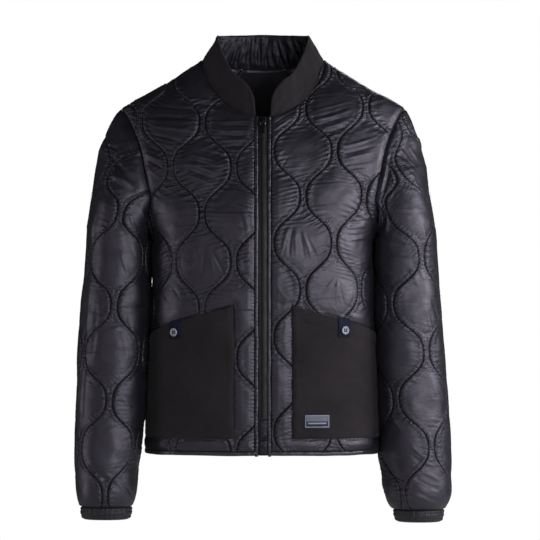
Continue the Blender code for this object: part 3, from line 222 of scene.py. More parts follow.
def read_columns(at, run, table):
    """Every column of a table at places along its run."""
    return np.stack([np.interp(at, run, column) for column in np.transpose(table)], -1)


def pairs(table):
    """The rows of an array as tuples of plain numbers."""
    return [tuple(map(float, row)) for row in table]


def hermite(start, end, leave, arrive, t):
    """A smooth curve between two ends, from its slopes there."""
    return (start * (2 * t ** 3 - 3 * t ** 2 + 1) + leave * (t ** 3 - 2 * t ** 2 + t)
            + end * (3 * t ** 2 - 2 * t ** 3) + arrive * (t ** 3 - t ** 2))


def through(a, b, c, d, t):
    """A smooth curve from b to c, with a before them and d after (Catmull-Rom)."""
    return 0.5 * (2 * b + (c - a) * t + (2 * a - 5 * b + 4 * c - d) * t ** 2
                  + (3 * b - a - 3 * c + d) * t ** 3)


def smooth_table(rows, at, column):
    """Read one column of a table at a height, on a smooth curve through its rows."""
    heights, values = np.array(rows)[:, [0, column]].T
    if heights[0] > heights[-1]:
        heights, values = heights[::-1], values[::-1]
    at = min(max(at, heights[0]), heights[-1])
    index = min(max(int(np.searchsorted(heights, at)) - 1, 0), len(heights) - 2)
    step = heights[index + 1] - heights[index]
    leave, arrive = np.gradient(values, heights)[index:index + 2] * step
    return hermite(values[index], values[index + 1], leave, arrive, (at - heights[index]) / step)


def smooth_line(points, per_span=6):
    """A smooth curve through an open list of flat points."""
    ring = np.array([points[0], *points, points[-1]])
    t = (np.arange(per_span) / per_span)[:, None]
    parts = [through(*ring[k:k + 4], t) for k in range(len(points) - 1)]
    return pairs(np.concatenate(parts + [ring[-1:]]))


def resample(line, step):
    """Points along an open line, about a step apart, ends kept."""
    run = run_of(line)
    at = np.linspace(0, run[-1], max(int(round(run[-1] / step)), 1) + 1)
    return pairs(read_columns(at, run, line))


def quarter(width, depth, power, samples=121):
    """A superellipse from (0, depth) to (width, 0), with its running length."""
    angle = np.linspace(0, math.pi / 2, samples)
    radius = ((np.sin(angle) / width) ** power + (np.cos(angle) / depth) ** power) ** (-1 / power)
    across, deep = radius * np.sin(angle), radius * np.cos(angle)
    return across, deep, run_of(np.stack([across, deep], 1))


# ---------------------------------------------------------------- body surface, as in the solids
@lru_cache(maxsize=None)
def body_quarter(face, z):
    column = 2 if face == FRONT else 3
    return quarter(smooth_table(BODY_SECTIONS, z, 1), smooth_table(BODY_SECTIONS, z, column),
                   SECTION_POWER)


def side_seam(face, v):
    """Length across the cloth from the centre line to the side seam."""
    return float(body_quarter(face, min(v, CHEST_Z))[2][-1])


def shoulder_height(across):
    inside = max(NECK_HALF - across, 0)
    if inside > 0:
        return SHOULDER_SLOPE * inside * (1 - 0.5 * inside / NECK_HALF)
    way = across - NECK_HALF
    dip = math.sin(math.pi * min(way / (SHOULDER_HALF - NECK_HALF), 1)) ** 2
    return -SHOULDER_SLOPE * way - SHOULDER_DIP * dip


@lru_cache(maxsize=None)
def shoulder_profile(face, across):
    """Where the grain at this distance across meets the chest, and its way up from there."""
    chest_across, chest_deep, chest_run = body_quarter(face, CHEST_Z)
    x = float(np.interp(across, chest_run, chest_across))
    y = float(np.interp(across, chest_run, chest_deep))
    power = smooth_table(PROFILE_POWERS, across, 1 if face == FRONT else 2)
    rise, deep, run = quarter(shoulder_height(across) - CHEST_Z, max(y, 1e-4), power)
    return x, rise, deep, run


def body_point(face, u, v):
    """The place of cloth point (u, v) of a front or the back, on the plain inner face."""
    hand = 1 if u >= 0 else -1
    across = abs(u)
    if v <= CHEST_Z:
        wide, deep, run = body_quarter(face, v)
        return Vector((hand * np.interp(across, run, wide), face * np.interp(across, run, deep), v))
    x, rise, deep, run = shoulder_profile(face, across)
    up = float(np.interp(v - CHEST_Z, run, rise))
    y = float(np.interp(v - CHEST_Z, run, deep))
    share = up / rise[-1]
    flare = 1 - (1 - share ** FLARE_START) ** FLARE_HASTE
    return Vector((hand * (x + (across - x) * flare), face * y, CHEST_Z + up))


def body_v(face, across, z):
    """The cloth height v at which the grain at this distance reaches height z."""
    if z <= CHEST_Z:
        return z
    _, rise, _, run = shoulder_profile(face, across)
    return CHEST_Z + float(np.interp(z - CHEST_Z, rise, run))


def shoulder_v(face, across):
    return CHEST_Z + float(shoulder_profile(face, across)[3][-1])


def body_normal(face, u, v, step=0.0008):
    """Outward normal of the body at a cloth point, a little in from the piece's edges."""
    top = shoulder_v(face, abs(u)) if v > CHEST_Z else v + 1
    edge = side_seam(face, v) if v < UNDERARM_Z else abs(u) + 1
    v = min(v, top - 2 * step)
    u = math.copysign(min(abs(u), edge - 2 * step), u)
    along = body_point(face, u + step, v) - body_point(face, u - step, v)
    up = body_point(face, u, v + step) - body_point(face, u, v - step)
    normal = along.cross(up).normalized()
    place = body_point(face, u, v)
    outward = Vector((place.x, place.y, max(0.0, place.z - CHEST_Z)))
    return normal if normal.dot(outward) >= 0 else -normal


def pocket_top(across):
    return POCKET_TOP - POCKET_FALL * (across - POCKET_INNER)


@lru_cache(maxsize=None)
def armhole_line(face):
    """Armhole in cloth coordinates, from the underarm up to the shoulder."""
    line = [(u, body_v(face, u, z)) for u, z in ARMHOLES[face][1:]]
    line = [(SHOULDER_HALF, shoulder_v(face, SHOULDER_HALF))] + line
    line.append((side_seam(face, UNDERARM_Z), UNDERARM_Z))
    line.reverse()
    return resample(smooth_line(line), 0.0155)


def neck_line(face):
    """Neckline in cloth coordinates, from the shoulder's neck point to the centre."""
    line = [(u, body_v(face, u, z)) for u, z in NECKLINES[face][1:]]
    return [(NECK_HALF, shoulder_v(face, NECK_HALF))] + line


# ---------------------------------------------------------------- sleeve and collar surfaces
def ring_point(inner, outer, middle, half_depth, share, hand):
    """A point of a level sleeve ring: share 0 at its inner side, 0.25 in front, 0.5 outside."""
    wide, deep, run = ring_quarter((outer - inner) / 2, half_depth)
    side = (share % 1.0) * 4
    part = side % 1
    x_sign, y_sign, back = {0: (-1, -1, True), 1: (1, -1, False),
                            2: (1, 1, True), 3: (-1, 1, False)}[int(side) % 4]
    at = run[-1] * (1 - part if back else part)
    x = (inner + outer) / 2 + x_sign * float(np.interp(at, run, wide))
    y = middle + y_sign * float(np.interp(at, run, deep))
    return hand * x, y


@lru_cache(maxsize=None)
def ring_quarter(half_width, half_depth):
    return quarter(half_width, half_depth, SLEEVE_POWER)


@lru_cache(maxsize=None)
def sleeve_section(hand, v):
    return [smooth_table(SLEEVE_SECTIONS[hand], v, column) for column in (1, 2, 3, 4)]


def sleeve_ring(hand, v, share):
    x, y = ring_point(*sleeve_section(hand, v), share, hand)
    return Vector((x, y, v))


@lru_cache(maxsize=None)
def armhole_loop(hand):
    """The armhole seam from the underarm round by the front: shares, points and normals."""
    shares, points, normals = [], [], []
    for face, line in ((FRONT, armhole_line(FRONT)), (BACK, armhole_line(BACK)[::-1])):
        part = [body_point(face, hand * u, v) for u, v in line]
        run = run_in_space(part)
        shares.append((0.5 if face == BACK else 0.0) + 0.5 * run[:-1] / run[-1])
        points += part[:-1]
        normals += [body_normal(face, hand * u, v) for u, v in line[:-1]]
    return (np.concatenate(shares + [[1.0]]), np.array(points + points[:1]),
            np.array(normals + normals[:1]))


@lru_cache(maxsize=None)
def cap_path(hand, share):
    """Ends and slopes of the cloth's way from the armhole seam to the first whole ring."""
    shares, points, _ = armhole_loop(hand)
    start = Vector(read_columns(share % 1.0, shares, points))
    end = sleeve_ring(hand, SLEEVE_TOP_Z, share)
    way = end - start
    front = -math.sin(2 * math.pi * share)
    low = 0.5 + 0.5 * math.cos(2 * math.pi * share)
    swell = Vector((hand * (CAP_OUT[hand] + CAP_OUT_UNDERARM * low), CAP_FORWARD * front,
                    CAP_RISE * low))
    leave = way + swell * way.length * CAP_SWELL
    return start, end, leave, Vector((0, 0, -1)) * way.length


def cap_point(hand, share, t):
    """Part t is 0 at the armhole seam and 1 at the first whole ring."""
    return hermite(*cap_path(hand, share), t)


@lru_cache(maxsize=None)
def cap_length(hand, share, steps=12):
    return float(run_in_space([cap_point(hand, share, k / steps) for k in range(steps + 1)])[-1])


def sleeve_point(hand, share, v):
    if v <= SLEEVE_TOP_Z:
        return sleeve_ring(hand, v, share)
    return cap_point(hand, share, 1 - (v - SLEEVE_TOP_Z) / cap_length(hand, share))


@lru_cache(maxsize=None)
def neck_seam(hand):
    """The neck seam in space, centre front to centre back: shares, points and its length."""
    points = [body_point(FRONT, hand * u, v) for u, v in reversed(neck_line(FRONT))]
    points += [body_point(BACK, hand * u, v) for u, v in neck_line(BACK)[1:]]
    run = run_in_space(points)
    return run / run[-1], np.array(points), float(run[-1])


def collar_frame(hand, share, step=0.03):
    """Base point, direction up the collar and outward normal at a share of the seam."""
    shares, points, _ = neck_seam(hand)
    before, here, after = (Vector(read_columns(min(max(at, 0), 1), shares, points))
                           for at in (share - step, share, share + step))
    lean = [smooth_table(COLLAR_LEAN, share, column) for column in (1, 2, 3)]
    up = Vector((-hand * lean[0], lean[1], lean[2])).normalized()
    normal = (after - before).normalized().cross(up).normalized()
    outward = Vector((hand * 7 * abs(here.x), here.y * 10, 0.1))
    return here, up, normal if normal.dot(outward) >= 0 else -normal


# ---------------------------------------------------------------- grids
def finer_axis(grid, axis):
    """More points along one axis of a grid, on smooth curves through its own."""
    grid = np.moveaxis(grid, axis, 0)
    padded = np.concatenate([2 * grid[:1] - grid[1:2], grid, 2 * grid[-1:] - grid[-2:-1]])
    at = np.arange((len(grid) - 1) * FINER + 1) / FINER
    index = np.minimum(at.astype(int), len(grid) - 2)
    t = (at - index).reshape(-1, *[1] * (grid.ndim - 1))
    return np.moveaxis(through(*(padded[index + k] for k in range(4)), t), 0, axis)


def finer(grid):
    return finer_axis(finer_axis(grid, 0), 1)


def coarser(grid):
    return grid[::FINER, ::FINER]


def round_edge(grid):
    """What a grid holds round its edge, counter-clockwise from its first point."""
    return np.concatenate([grid[0, :-1], grid[:-1, -1], grid[-1, :0:-1], grid[:0:-1, 0]])


def along(parts, counts):
    """Points spread evenly over each part of an edge, with so many steps each."""
    out = []
    for part, count in zip(parts, counts):
        run = run_of(part)
        out.append(read_columns(np.linspace(0, run[-1], count + 1)[:-1], run, part))
    return np.concatenate(out + [np.array(parts[-1][-1:])])


def between(bottom, top, left, right):
    """A grid of cloth points between four edges that share their corners."""
    s = np.linspace(0, 1, len(bottom))[None, :, None]
    t = np.linspace(0, 1, len(left))[:, None, None]
    edges = (1 - t) * bottom[None] + t * top[None] + (1 - s) * left[:, None] + s * right[:, None]
    corners = (1 - t) * ((1 - s) * bottom[0] + s * bottom[-1]) + t * ((1 - s) * top[0] + s * top[-1])
    return edges - corners


def smooth_step(values):
    values = np.clip(values, 0, 1)
    return values * values * (3 - 2 * values)


def unit(vectors):
    return vectors / np.maximum(np.linalg.norm(vectors, axis=-1, keepdims=True), 1e-12)


def grid_frame(points, cloth, outward):
    """Normals of a grid, and its directions along u and v."""
    ps, pt = np.gradient(points, axis=1), np.gradient(points, axis=0)
    cs, ct = np.gradient(cloth, axis=1), np.gradient(cloth, axis=0)
    area = cs[..., 0] * ct[..., 1] - ct[..., 0] * cs[..., 1]
    area = np.where(np.abs(area) < 1e-10, 1e-10, area)[..., None]
    along_u = unit((ps * ct[..., 1:] - pt * cs[..., 1:]) / area)
    along_v = unit((pt * cs[..., :1] - ps * ct[..., :1]) / area)
    normal = unit(np.cross(ps, pt))
    flip = np.sign((normal * outward).sum(-1).mean()) or 1
    return normal * flip, along_u, along_v


def line_distance(points, line):
    """Distance of many flat points from a flat line."""
    best = np.full(len(points), 1.0)
    for (x0, y0), (x1, y1) in zip(line, line[1:]):
        dx, dy = x1 - x0, y1 - y0
        length = max(dx * dx + dy * dy, 1e-14)
        t = np.clip(((points[:, 0] - x0) * dx + (points[:, 1] - y0) * dy) / length, 0, 1)
        best = np.minimum(best, np.hypot(points[:, 0] - x0 - t * dx, points[:, 1] - y0 - t * dy))
    return best


def inside(points, ring):
    """Which of many flat points lie inside a closed ring."""
    x, y = points[:, 0], points[:, 1]
    hit = np.zeros(len(points), bool)
    for (x0, y0), (x1, y1) in zip(ring, ring[1:] + ring[:1]):
        if y0 != y1:
            hit ^= ((y0 > y) != (y1 > y)) & (x < (x1 - x0) * (y - y0) / (y1 - y0) + x0)
    return hit


def smooth_noise(rng, shape, size):
    """Even noise on a grid, with blobs about so many cells across, spread 1."""
    noise = rng.normal(0, 1, shape)
    kernel = np.hanning(2 * int(size) + 3)
    kernel /= kernel.sum()
    pad = len(kernel) // 2
    for axis in (0, 1):
        wide = np.pad(noise, [(pad, pad) if k == axis else (0, 0) for k in (0, 1)], mode="reflect")
        noise = sum(w * np.take(wide, range(k, k + shape[axis]), axis) for k, w in enumerate(kernel))
    return noise / noise.std()


class Field:
    """Values on an even grid of cloth points, read between its points."""

    def __init__(self, origin, step, values):
        self.origin, self.step, self.values = origin, step, values

    def at(self, cloth):
        rows, cols = self.values.shape[:2]
        x = np.clip((cloth[..., 0] - self.origin[0]) / self.step, 1, cols - 2.001)
        y = np.clip((cloth[..., 1] - self.origin[1]) / self.step, 1, rows - 2.001)
        i, j = x.astype(int), y.astype(int)
        x, y = (x - i)[..., None], (y - j)[..., None]
        across = [through(*(self.values[j + dj, i + di] for di in range(-1, 3)), x)
                  for dj in range(-1, 3)]
        return through(*across, y)


# ---------------------------------------------------------------- quilting
SIM_STEPS = 300
PUFF = 0.0043                       # height that the filling seeks in the middle of a wide cell
SLEEVE_PUFF = 0.0036
FILLING = 0.050                     # how firmly it seeks it
BEND = 0.60                         # how firmly cloth resists a crease
SHEAR = 0.15
LINE_ROUND = 0.6                    # how far a stitch line is rounder than a plain wave
STITCH_DEEP = 0.0008                # depth of a stitch line in the cloth's own thickness


def quilt_line(quilt, index, v):
    middle, swing, neck, wave = quilt
    sign = np.where(np.asarray(index) % 2 == 0, swing, -swing)
    plain = np.cos(2 * np.pi * (v - neck) / wave)
    shape = (1 - LINE_ROUND) * plain + LINE_ROUND * np.sin(np.pi / 2 * plain)
    return middle + index * LINE_STEP + sign * LINE_SWING * shape


def quilt_cells(quilt, u, v):
    """For each cloth point the number of its cell's left line, and both lines' places."""
    index = np.floor((u - quilt[0]) / LINE_STEP).astype(int)
    for _ in range(2):
        index = np.where(quilt_line(quilt, index, v) > u, index - 1, index)
        index = np.where(quilt_line(quilt, index + 1, v) <= u, index + 1, index)
    return index, quilt_line(quilt, index, v), quilt_line(quilt, index + 1, v)


def puckers(rng, distance, run, spacing, reach, height):
    """Small ridges square to a seam: uneven in place, length and height along its run."""
    count = int((run.max() - run.min()) / spacing) + 4
    at = run.min() + spacing * np.arange(count)
    shift = np.cumsum(rng.normal(0, 0.22, count))
    tall = np.clip(rng.normal(0.9, 0.55, count), 0, 2.2)
    long = reach * np.clip(rng.lognormal(0, 0.45, count), 0.4, 2.6)
    turn = 2 * np.pi * (run / spacing + np.interp(run, at, shift))
    lean = rng.uniform(-0.6, 0.6) * distance / spacing
    ridge = (0.5 + 0.5 * np.cos(turn + 2 * np.pi * lean)) ** 1.9 - 0.3
    fade = np.exp(-distance / np.interp(run, at, long)) * (1 - np.exp(-distance / 0.0016))
    return height * ridge * np.interp(run, at, tall) * fade


def relax_cloth(place, plan, target, rest_u, rest_v, pinned, step):
    """Settle a grid of cloth: lengths kept, creases resisted, filling pushing up, pins held."""
    rows, cols = target.shape
    every = slice(None)

    def hold(a, b, rest, firmness, only_short=False):
        way = place[b] - place[a]
        length = np.sqrt((way * way).sum(-1))
        wrong = length - rest
        if only_short:
            wrong = np.minimum(wrong, 0)
        way *= (0.5 * firmness * wrong / length)[..., None]
        place[a] += way
        place[b] -= way

    def pair(count, start, reach, stride):
        return slice(start, count - reach, stride), slice(start + reach, count, stride)

    diagonal = np.float32(step * math.hypot(1.01, 1.02))
    for _ in range(SIM_STEPS):
        place[..., 2] += FILLING * (target - place[..., 2])
        for start in (0, 1):
            a, b = pair(cols, start, 1, 2)
            hold((every, a), (every, b), rest_u[:, a], 1.0)
            a, b = pair(rows, start, 1, 2)
            hold((a, every), (b, every), rest_v[a], 1.0)
            hold((a, slice(0, cols - 1)), (b, slice(1, cols)), diagonal, SHEAR)
            hold((a, slice(1, cols)), (b, slice(0, cols - 1)), diagonal, SHEAR)
        for start in range(4):
            a, b = pair(cols, start, 2, 4)
            hold((every, a), (every, b), 2 * rest_u[:, a], BEND, True)
            a, b = pair(rows, start, 2, 4)
            hold((a, every), (b, every), 2 * rest_v[a], BEND, True)
        np.maximum(place[..., 2], 0, out=place[..., 2])
        place[pinned] = plan[pinned]
    return place


SEAM_SOFT = 0.012                   # the filling is full this far from an edge or a pocket
LINE_SOFT = 0.0055                  # and this far from a stitch line
HIDDEN_PUFF = 0.12                  # share of the filling's height under a pocket
PUFF_POWER = 0.6                    # how the height grows with a cell's width and from its edges
PIN_WIDTH = 0.55                    # cloth this near a seam is held on it, in steps of the grid
LINE_SLOPE = 1.15                   # a rounded stitch line is this much steeper than a plain wave
LINE_RUN = 1.18                     # length of a stitch line for each unit up the cloth
COLUMN_CELLS = 64                   # more than there are cells in a column
SEAM_SHORT = 0.0040                 # reach of the cloth that a seam shortens
# Extra length of the cloth up and across: everywhere, by a seam, in a slack cell
EXTRA_UP = (0.004, 0.090, 0.020)
EXTRA_ACROSS = (0.006, 0.060, 0.010)
# Puckers: spacing, reach and height of those on a stitch line, and of those on an edge
LINE_PUCKERS = ((0.0040, 0.0042, 0.0019), (0.0090, 0.0095, 0.0014))
EDGE_PUCKERS = (0.0047, 0.0065, 0.0010)
LINE_REACH, EDGE_REACH = 0.045, 0.040           # none reach farther than this
DENTS = 0.0006                      # height of the dents between the seams
DENT_SIZES = ((1.0, 0.026), (0.3, 0.010))       # their shares and sizes


def quilt_field(task):
    """Relax one piece's quilting.

    Returns its name and a Field of five values: the cloth's displacement along u, v and outward,
    its distance from the edges and its distance from the stitches.
    """
    name, outline, pocket, step, seed = task
    quilt = QUILTS[name]
    rng = np.random.default_rng(seed)
    low, high = np.min(outline, 0) - 4 * step, np.max(outline, 0) + 4 * step
    u, v = np.meshgrid(np.arange(low[0], high[0], step), np.arange(low[1], high[1], step))
    flat = np.stack([u.ravel(), v.ravel()], 1)
    away = line_distance(flat, outline + outline[:1]).reshape(u.shape)
    index, left, right = quilt_cells(quilt, u, v)
    phase = (v - quilt[2]) / quilt[3]
    slope = LINE_SLOPE * LINE_SWING * 2 * np.pi / quilt[3] * np.sin(2 * np.pi * phase)
    beside = [gap / np.sqrt(1 + slope ** 2) for gap in (u - left, right - u)]
    near = np.minimum(*beside)
    pin = PIN_WIDTH * step

    # Every cell has a filling and a slackness of its own
    cell = index * COLUMN_CELLS + np.floor(phase + np.where(index % 2, 0.5, 0.0)).astype(int)
    names, cell = np.unique(cell, return_inverse=True)
    cell = cell.reshape(u.shape)
    fullness = rng.uniform(0.82, 1.12, len(names))[cell]
    slack = rng.uniform(0.10, 1.0, len(names))[cell] ** 1.4
    puff = SLEEVE_PUFF if name.startswith("sleeve") else PUFF
    target = puff * fullness * ((right - left) / (LINE_STEP + 2 * LINE_SWING)) ** PUFF_POWER
    target *= 1 - np.exp(-near / LINE_SOFT)
    target *= np.minimum(away / SEAM_SOFT, 1) ** PUFF_POWER
    pinned = (near < pin) | (away < pin)
    edge = away
    if pocket:
        off = line_distance(flat, pocket + pocket[:1]).reshape(u.shape)
        hidden = inside(flat, pocket).reshape(u.shape)
        pinned |= off < pin
        target *= np.where(hidden, HIDDEN_PUFF, np.minimum(off / SEAM_SOFT, 1) ** PUFF_POWER)
        slack = np.where(hidden, 0.1, slack)
        near = np.where(hidden, near, np.minimum(near, off))
        edge = np.minimum(away, off)
    pinned[[0, -1]] = True
    pinned[:, [0, -1]] = True

    seam = np.minimum(near, away)
    uneven = np.clip(1 + 0.45 * smooth_noise(rng, u.shape, 0.016 / step), 0.2, 2.2)
    shortened = np.exp(-seam / SEAM_SHORT) * uneven
    plain, by_seam, loose = EXTRA_UP
    extra_v = plain + by_seam * shortened + loose * slack * np.exp(-seam / SEAM_SOFT)
    plain, by_seam, loose = EXTRA_ACROSS
    extra_u = plain + by_seam * shortened + loose * slack
    plan = np.stack([u, v, np.zeros_like(u)], -1).astype(np.float32)
    place = plan.copy()
    place[..., 2] = target * 0.7 + rng.normal(0, 0.0003, u.shape)
    target, rest_u, rest_v = (values.astype(np.float32) for values in
                              (target, step * (1 + extra_u), step * (1 + extra_v)))
    moved = relax_cloth(place, plan, target, rest_u, rest_v, pinned, step) - plan
    for line, distance in zip((index, index + 1), beside):
        for number in np.unique(line):
            here = (line == number) & (distance < LINE_REACH)
            if here.sum() > 20:
                for size in LINE_PUCKERS:
                    moved[here, 2] += puckers(rng, distance[here], LINE_RUN * v[here], *size)
    moved[..., 2] += puckers(rng, edge, v + 0.8 * u, *EDGE_PUCKERS) * (edge < EDGE_REACH)
    dents = sum(share * smooth_noise(rng, u.shape, size / step) for share, size in DENT_SIZES)
    moved[..., 2] += DENTS * dents * (1 - np.exp(-seam / 0.010))
    moved[pinned] = 0
    if pocket:
        moved[hidden, 2] *= 0.15
    return name, Field(low, step, np.concatenate([moved, away[..., None], near[..., None]], -1))


# ---------------------------------------------------------------- meshes
def new_mesh(name, points, faces, uv=None, girth=None):
    """A mesh object from arrays. Faces are rows of point numbers; uv is one pair a point.

    With a girth the cloth goes round, and a face over its joint reads on past the girth.
    """
    mesh = bpy.data.meshes.new(name)
    faces = [np.asarray(part, np.int32) for part in faces]
    corners = np.concatenate([part.ravel() for part in faces])
    sizes = np.concatenate([np.full(len(part), part.shape[1], np.int32) for part in faces])
    mesh.vertices.add(len(points))
    mesh.vertices.foreach_set("co", np.asarray(points, np.float32).ravel())
    mesh.loops.add(len(corners))
    mesh.loops.foreach_set("vertex_index", corners)
    mesh.polygons.add(len(sizes))
    mesh.polygons.foreach_set("loop_start", (np.cumsum(sizes) - sizes).astype(np.int32))
    mesh.update(calc_edges=True)
    mesh.validate()
    work = bmesh.new()
    work.from_mesh(mesh)
    bmesh.ops.recalc_face_normals(work, faces=work.faces)
    work.to_mesh(mesh)
    work.free()
    if uv is not None:
        corners = np.empty(len(mesh.loops), np.int32)
        mesh.loops.foreach_get("vertex_index", corners)
        places = np.asarray(uv, float)[corners]
        if girth:
            starts, totals = np.empty((2, len(mesh.polygons)), np.int32)
            mesh.polygons.foreach_get("loop_start", starts)
            mesh.polygons.foreach_get("loop_total", totals)
            highest = np.repeat(np.maximum.reduceat(places[:, 0], starts), totals)
            places[:, 0] += girth * (highest - places[:, 0] > girth / 2)
        layer = mesh.uv_layers.new(name="cloth")
        layer.data.foreach_set("uv", places.astype(np.float32).ravel())
    mesh.shade_smooth()
    obj = bpy.data.objects.new(name, mesh)
    bpy.context.scene.collection.objects.link(obj)
    return obj


def numbered(rows, cols, shift=0):
    return np.arange(rows * cols).reshape(rows, cols) + shift


def grid_faces(rows, cols, shift=0, wrap=False, flip=False):
    numbers = numbered(rows, cols, shift)
    if wrap:
        numbers = np.concatenate([numbers, numbers[:, :1]], 1)
    corners = numbers[:-1, :-1], numbers[:-1, 1:], numbers[1:, 1:], numbers[1:, :-1]
    faces = np.stack(corners, -1).reshape(-1, 4)
    return faces[:, ::-1] if flip else faces


def rim_faces(outer, inner, flip):
    """Triangles between a fine loop and a coarse loop that has every FINERth of its points."""
    faces = []
    for j, a in enumerate(inner):
        b = inner[(j + 1) % len(inner)]
        fine = [outer[(j * FINER + k) % len(outer)] for k in range(FINER + 1)]
        faces.append((a, b, fine[FINER // 2]))
        faces += [(a if k < FINER // 2 else b, fine[k + 1], fine[k]) for k in range(FINER)]
    faces = np.array(faces)
    return faces[:, ::-1] if flip else faces


def closed_sheet(name, outer, inner, cloth, wrap=False, flip=False, girth=None):
    """A closed wall: a fine outer grid, a coarse inner grid and the rim between them.

    A grid that wraps has no last column; its rims are the first and last rows.
    """
    size, in_size = outer.shape[:2], inner.shape[:2]
    shift = size[0] * size[1]
    fine, coarse = numbered(*size), numbered(*in_size, shift)
    if wrap:
        rims = [rim_faces(fine[0], coarse[0], not flip), rim_faces(fine[-1], coarse[-1], flip)]
    else:
        rims = [rim_faces(round_edge(fine), round_edge(coarse), not flip)]
    faces = [grid_faces(*size, 0, wrap, flip), grid_faces(*in_size, shift, wrap, not flip)] + rims
    points = np.concatenate([outer.reshape(-1, 3), inner.reshape(-1, 3)])
    uv = np.concatenate([cloth.reshape(-1, 2), coarser(cloth).reshape(-1, 2)])
    return new_mesh(name, points, faces, uv, girth)


def map_stitches(obj, quilt):
    """Give a piece coordinates that are whole numbers on its stitch lines, for its material."""
    places = np.empty(2 * len(obj.data.loops), np.float32)
    obj.data.uv_layers["cloth"].data.foreach_get("uv", places)
    u, v = places.reshape(-1, 2).astype(float).T
    counted = [(u - quilt_line(quilt, index, v)) / (2 * LINE_STEP) for index in (0, 1)]
    layer = obj.data.uv_layers.new(name="stitch")
    layer.data.foreach_set("uv", np.stack(counted, 1).astype(np.float32).ravel())


def strokes(folds, cloth):
    """Relief of folds from a table in millimetres."""
    u, v = np.moveaxis(cloth * 1000, -1, 0)
    total = np.zeros(u.shape)
    for u0, v0, u1, v1, bow, width, height in folds:
        du, dv = u1 - u0, v1 - v0
        length = math.hypot(du, dv)
        t = ((u - u0) * du + (v - v0) * dv) / length ** 2
        taper = np.clip(4 * t * (1 - t), 0, 1)
        side = ((u - u0) * dv - (v - v0) * du) / length - bow * taper
        total += height * np.exp(-(side / width) ** 2) * taper ** 0.75
    return total / 1000


# ---------------------------------------------------------------- materials
class Look:
    """Shader nodes of a material or a world. Most methods add a node and return its output."""

    def __init__(self, owner):
        owner.use_nodes = True
        self.owner, self.tree = owner, owner.node_tree

    def fill(self, made, inputs):
        """Give a node's inputs numbers, colours or the outputs of other nodes."""
        for key, value in inputs.items():
            if isinstance(value, bpy.types.NodeSocket):
                self.tree.links.new(value, made.inputs[key])
            else:
                made.inputs[key].default_value = value

    def add(self, kind, inputs, output=0, **settings):
        made = self.tree.nodes.new("ShaderNode" + kind)
        for key, value in settings.items():
            setattr(made, key, value)
        self.fill(made, inputs)
        return made.outputs[output]

    def noise(self, place, scale, detail=3.0, **more):
        inputs = {"Vector": place, "Scale": scale, "Detail": detail, **more}
        return self.add("TexNoise", inputs, "Fac")

    def ramp(self, value, low=0.0, high=1.0, to_low=0.0, to_high=1.0, **settings):
        inputs = {"Value": value, "From Min": low, "From Max": high, "To Min": to_low,
                  "To Max": to_high}
        return self.add("MapRange", inputs, **settings)

    def mix(self, share, first, second):
        return self.add("Mix", {"Factor": share, 6: first, 7: second}, 2, data_type="RGBA")

    def work(self, operation, first, second):
        return self.add("Math", {0: first, 1: second}, operation=operation)

    def bump(self, height, distance, strength=1.0, **below):
        return self.add("Bump", {"Height": height, "Distance": distance, "Strength": strength, **below})

    def finish(self, inputs):
        self.fill(self.tree.nodes["Principled BSDF"], inputs)
        return self.owner


CLOTH_SHEEN = 0.45                  # roughness of a cloth's sheen
# Colour painted along the stitch lines: the dark of the thread, with painted shade of the groove beside
# it
THREAD_AND_GROOVE_SHADE = (0.0012, 0.0011, 0.0016, 1)


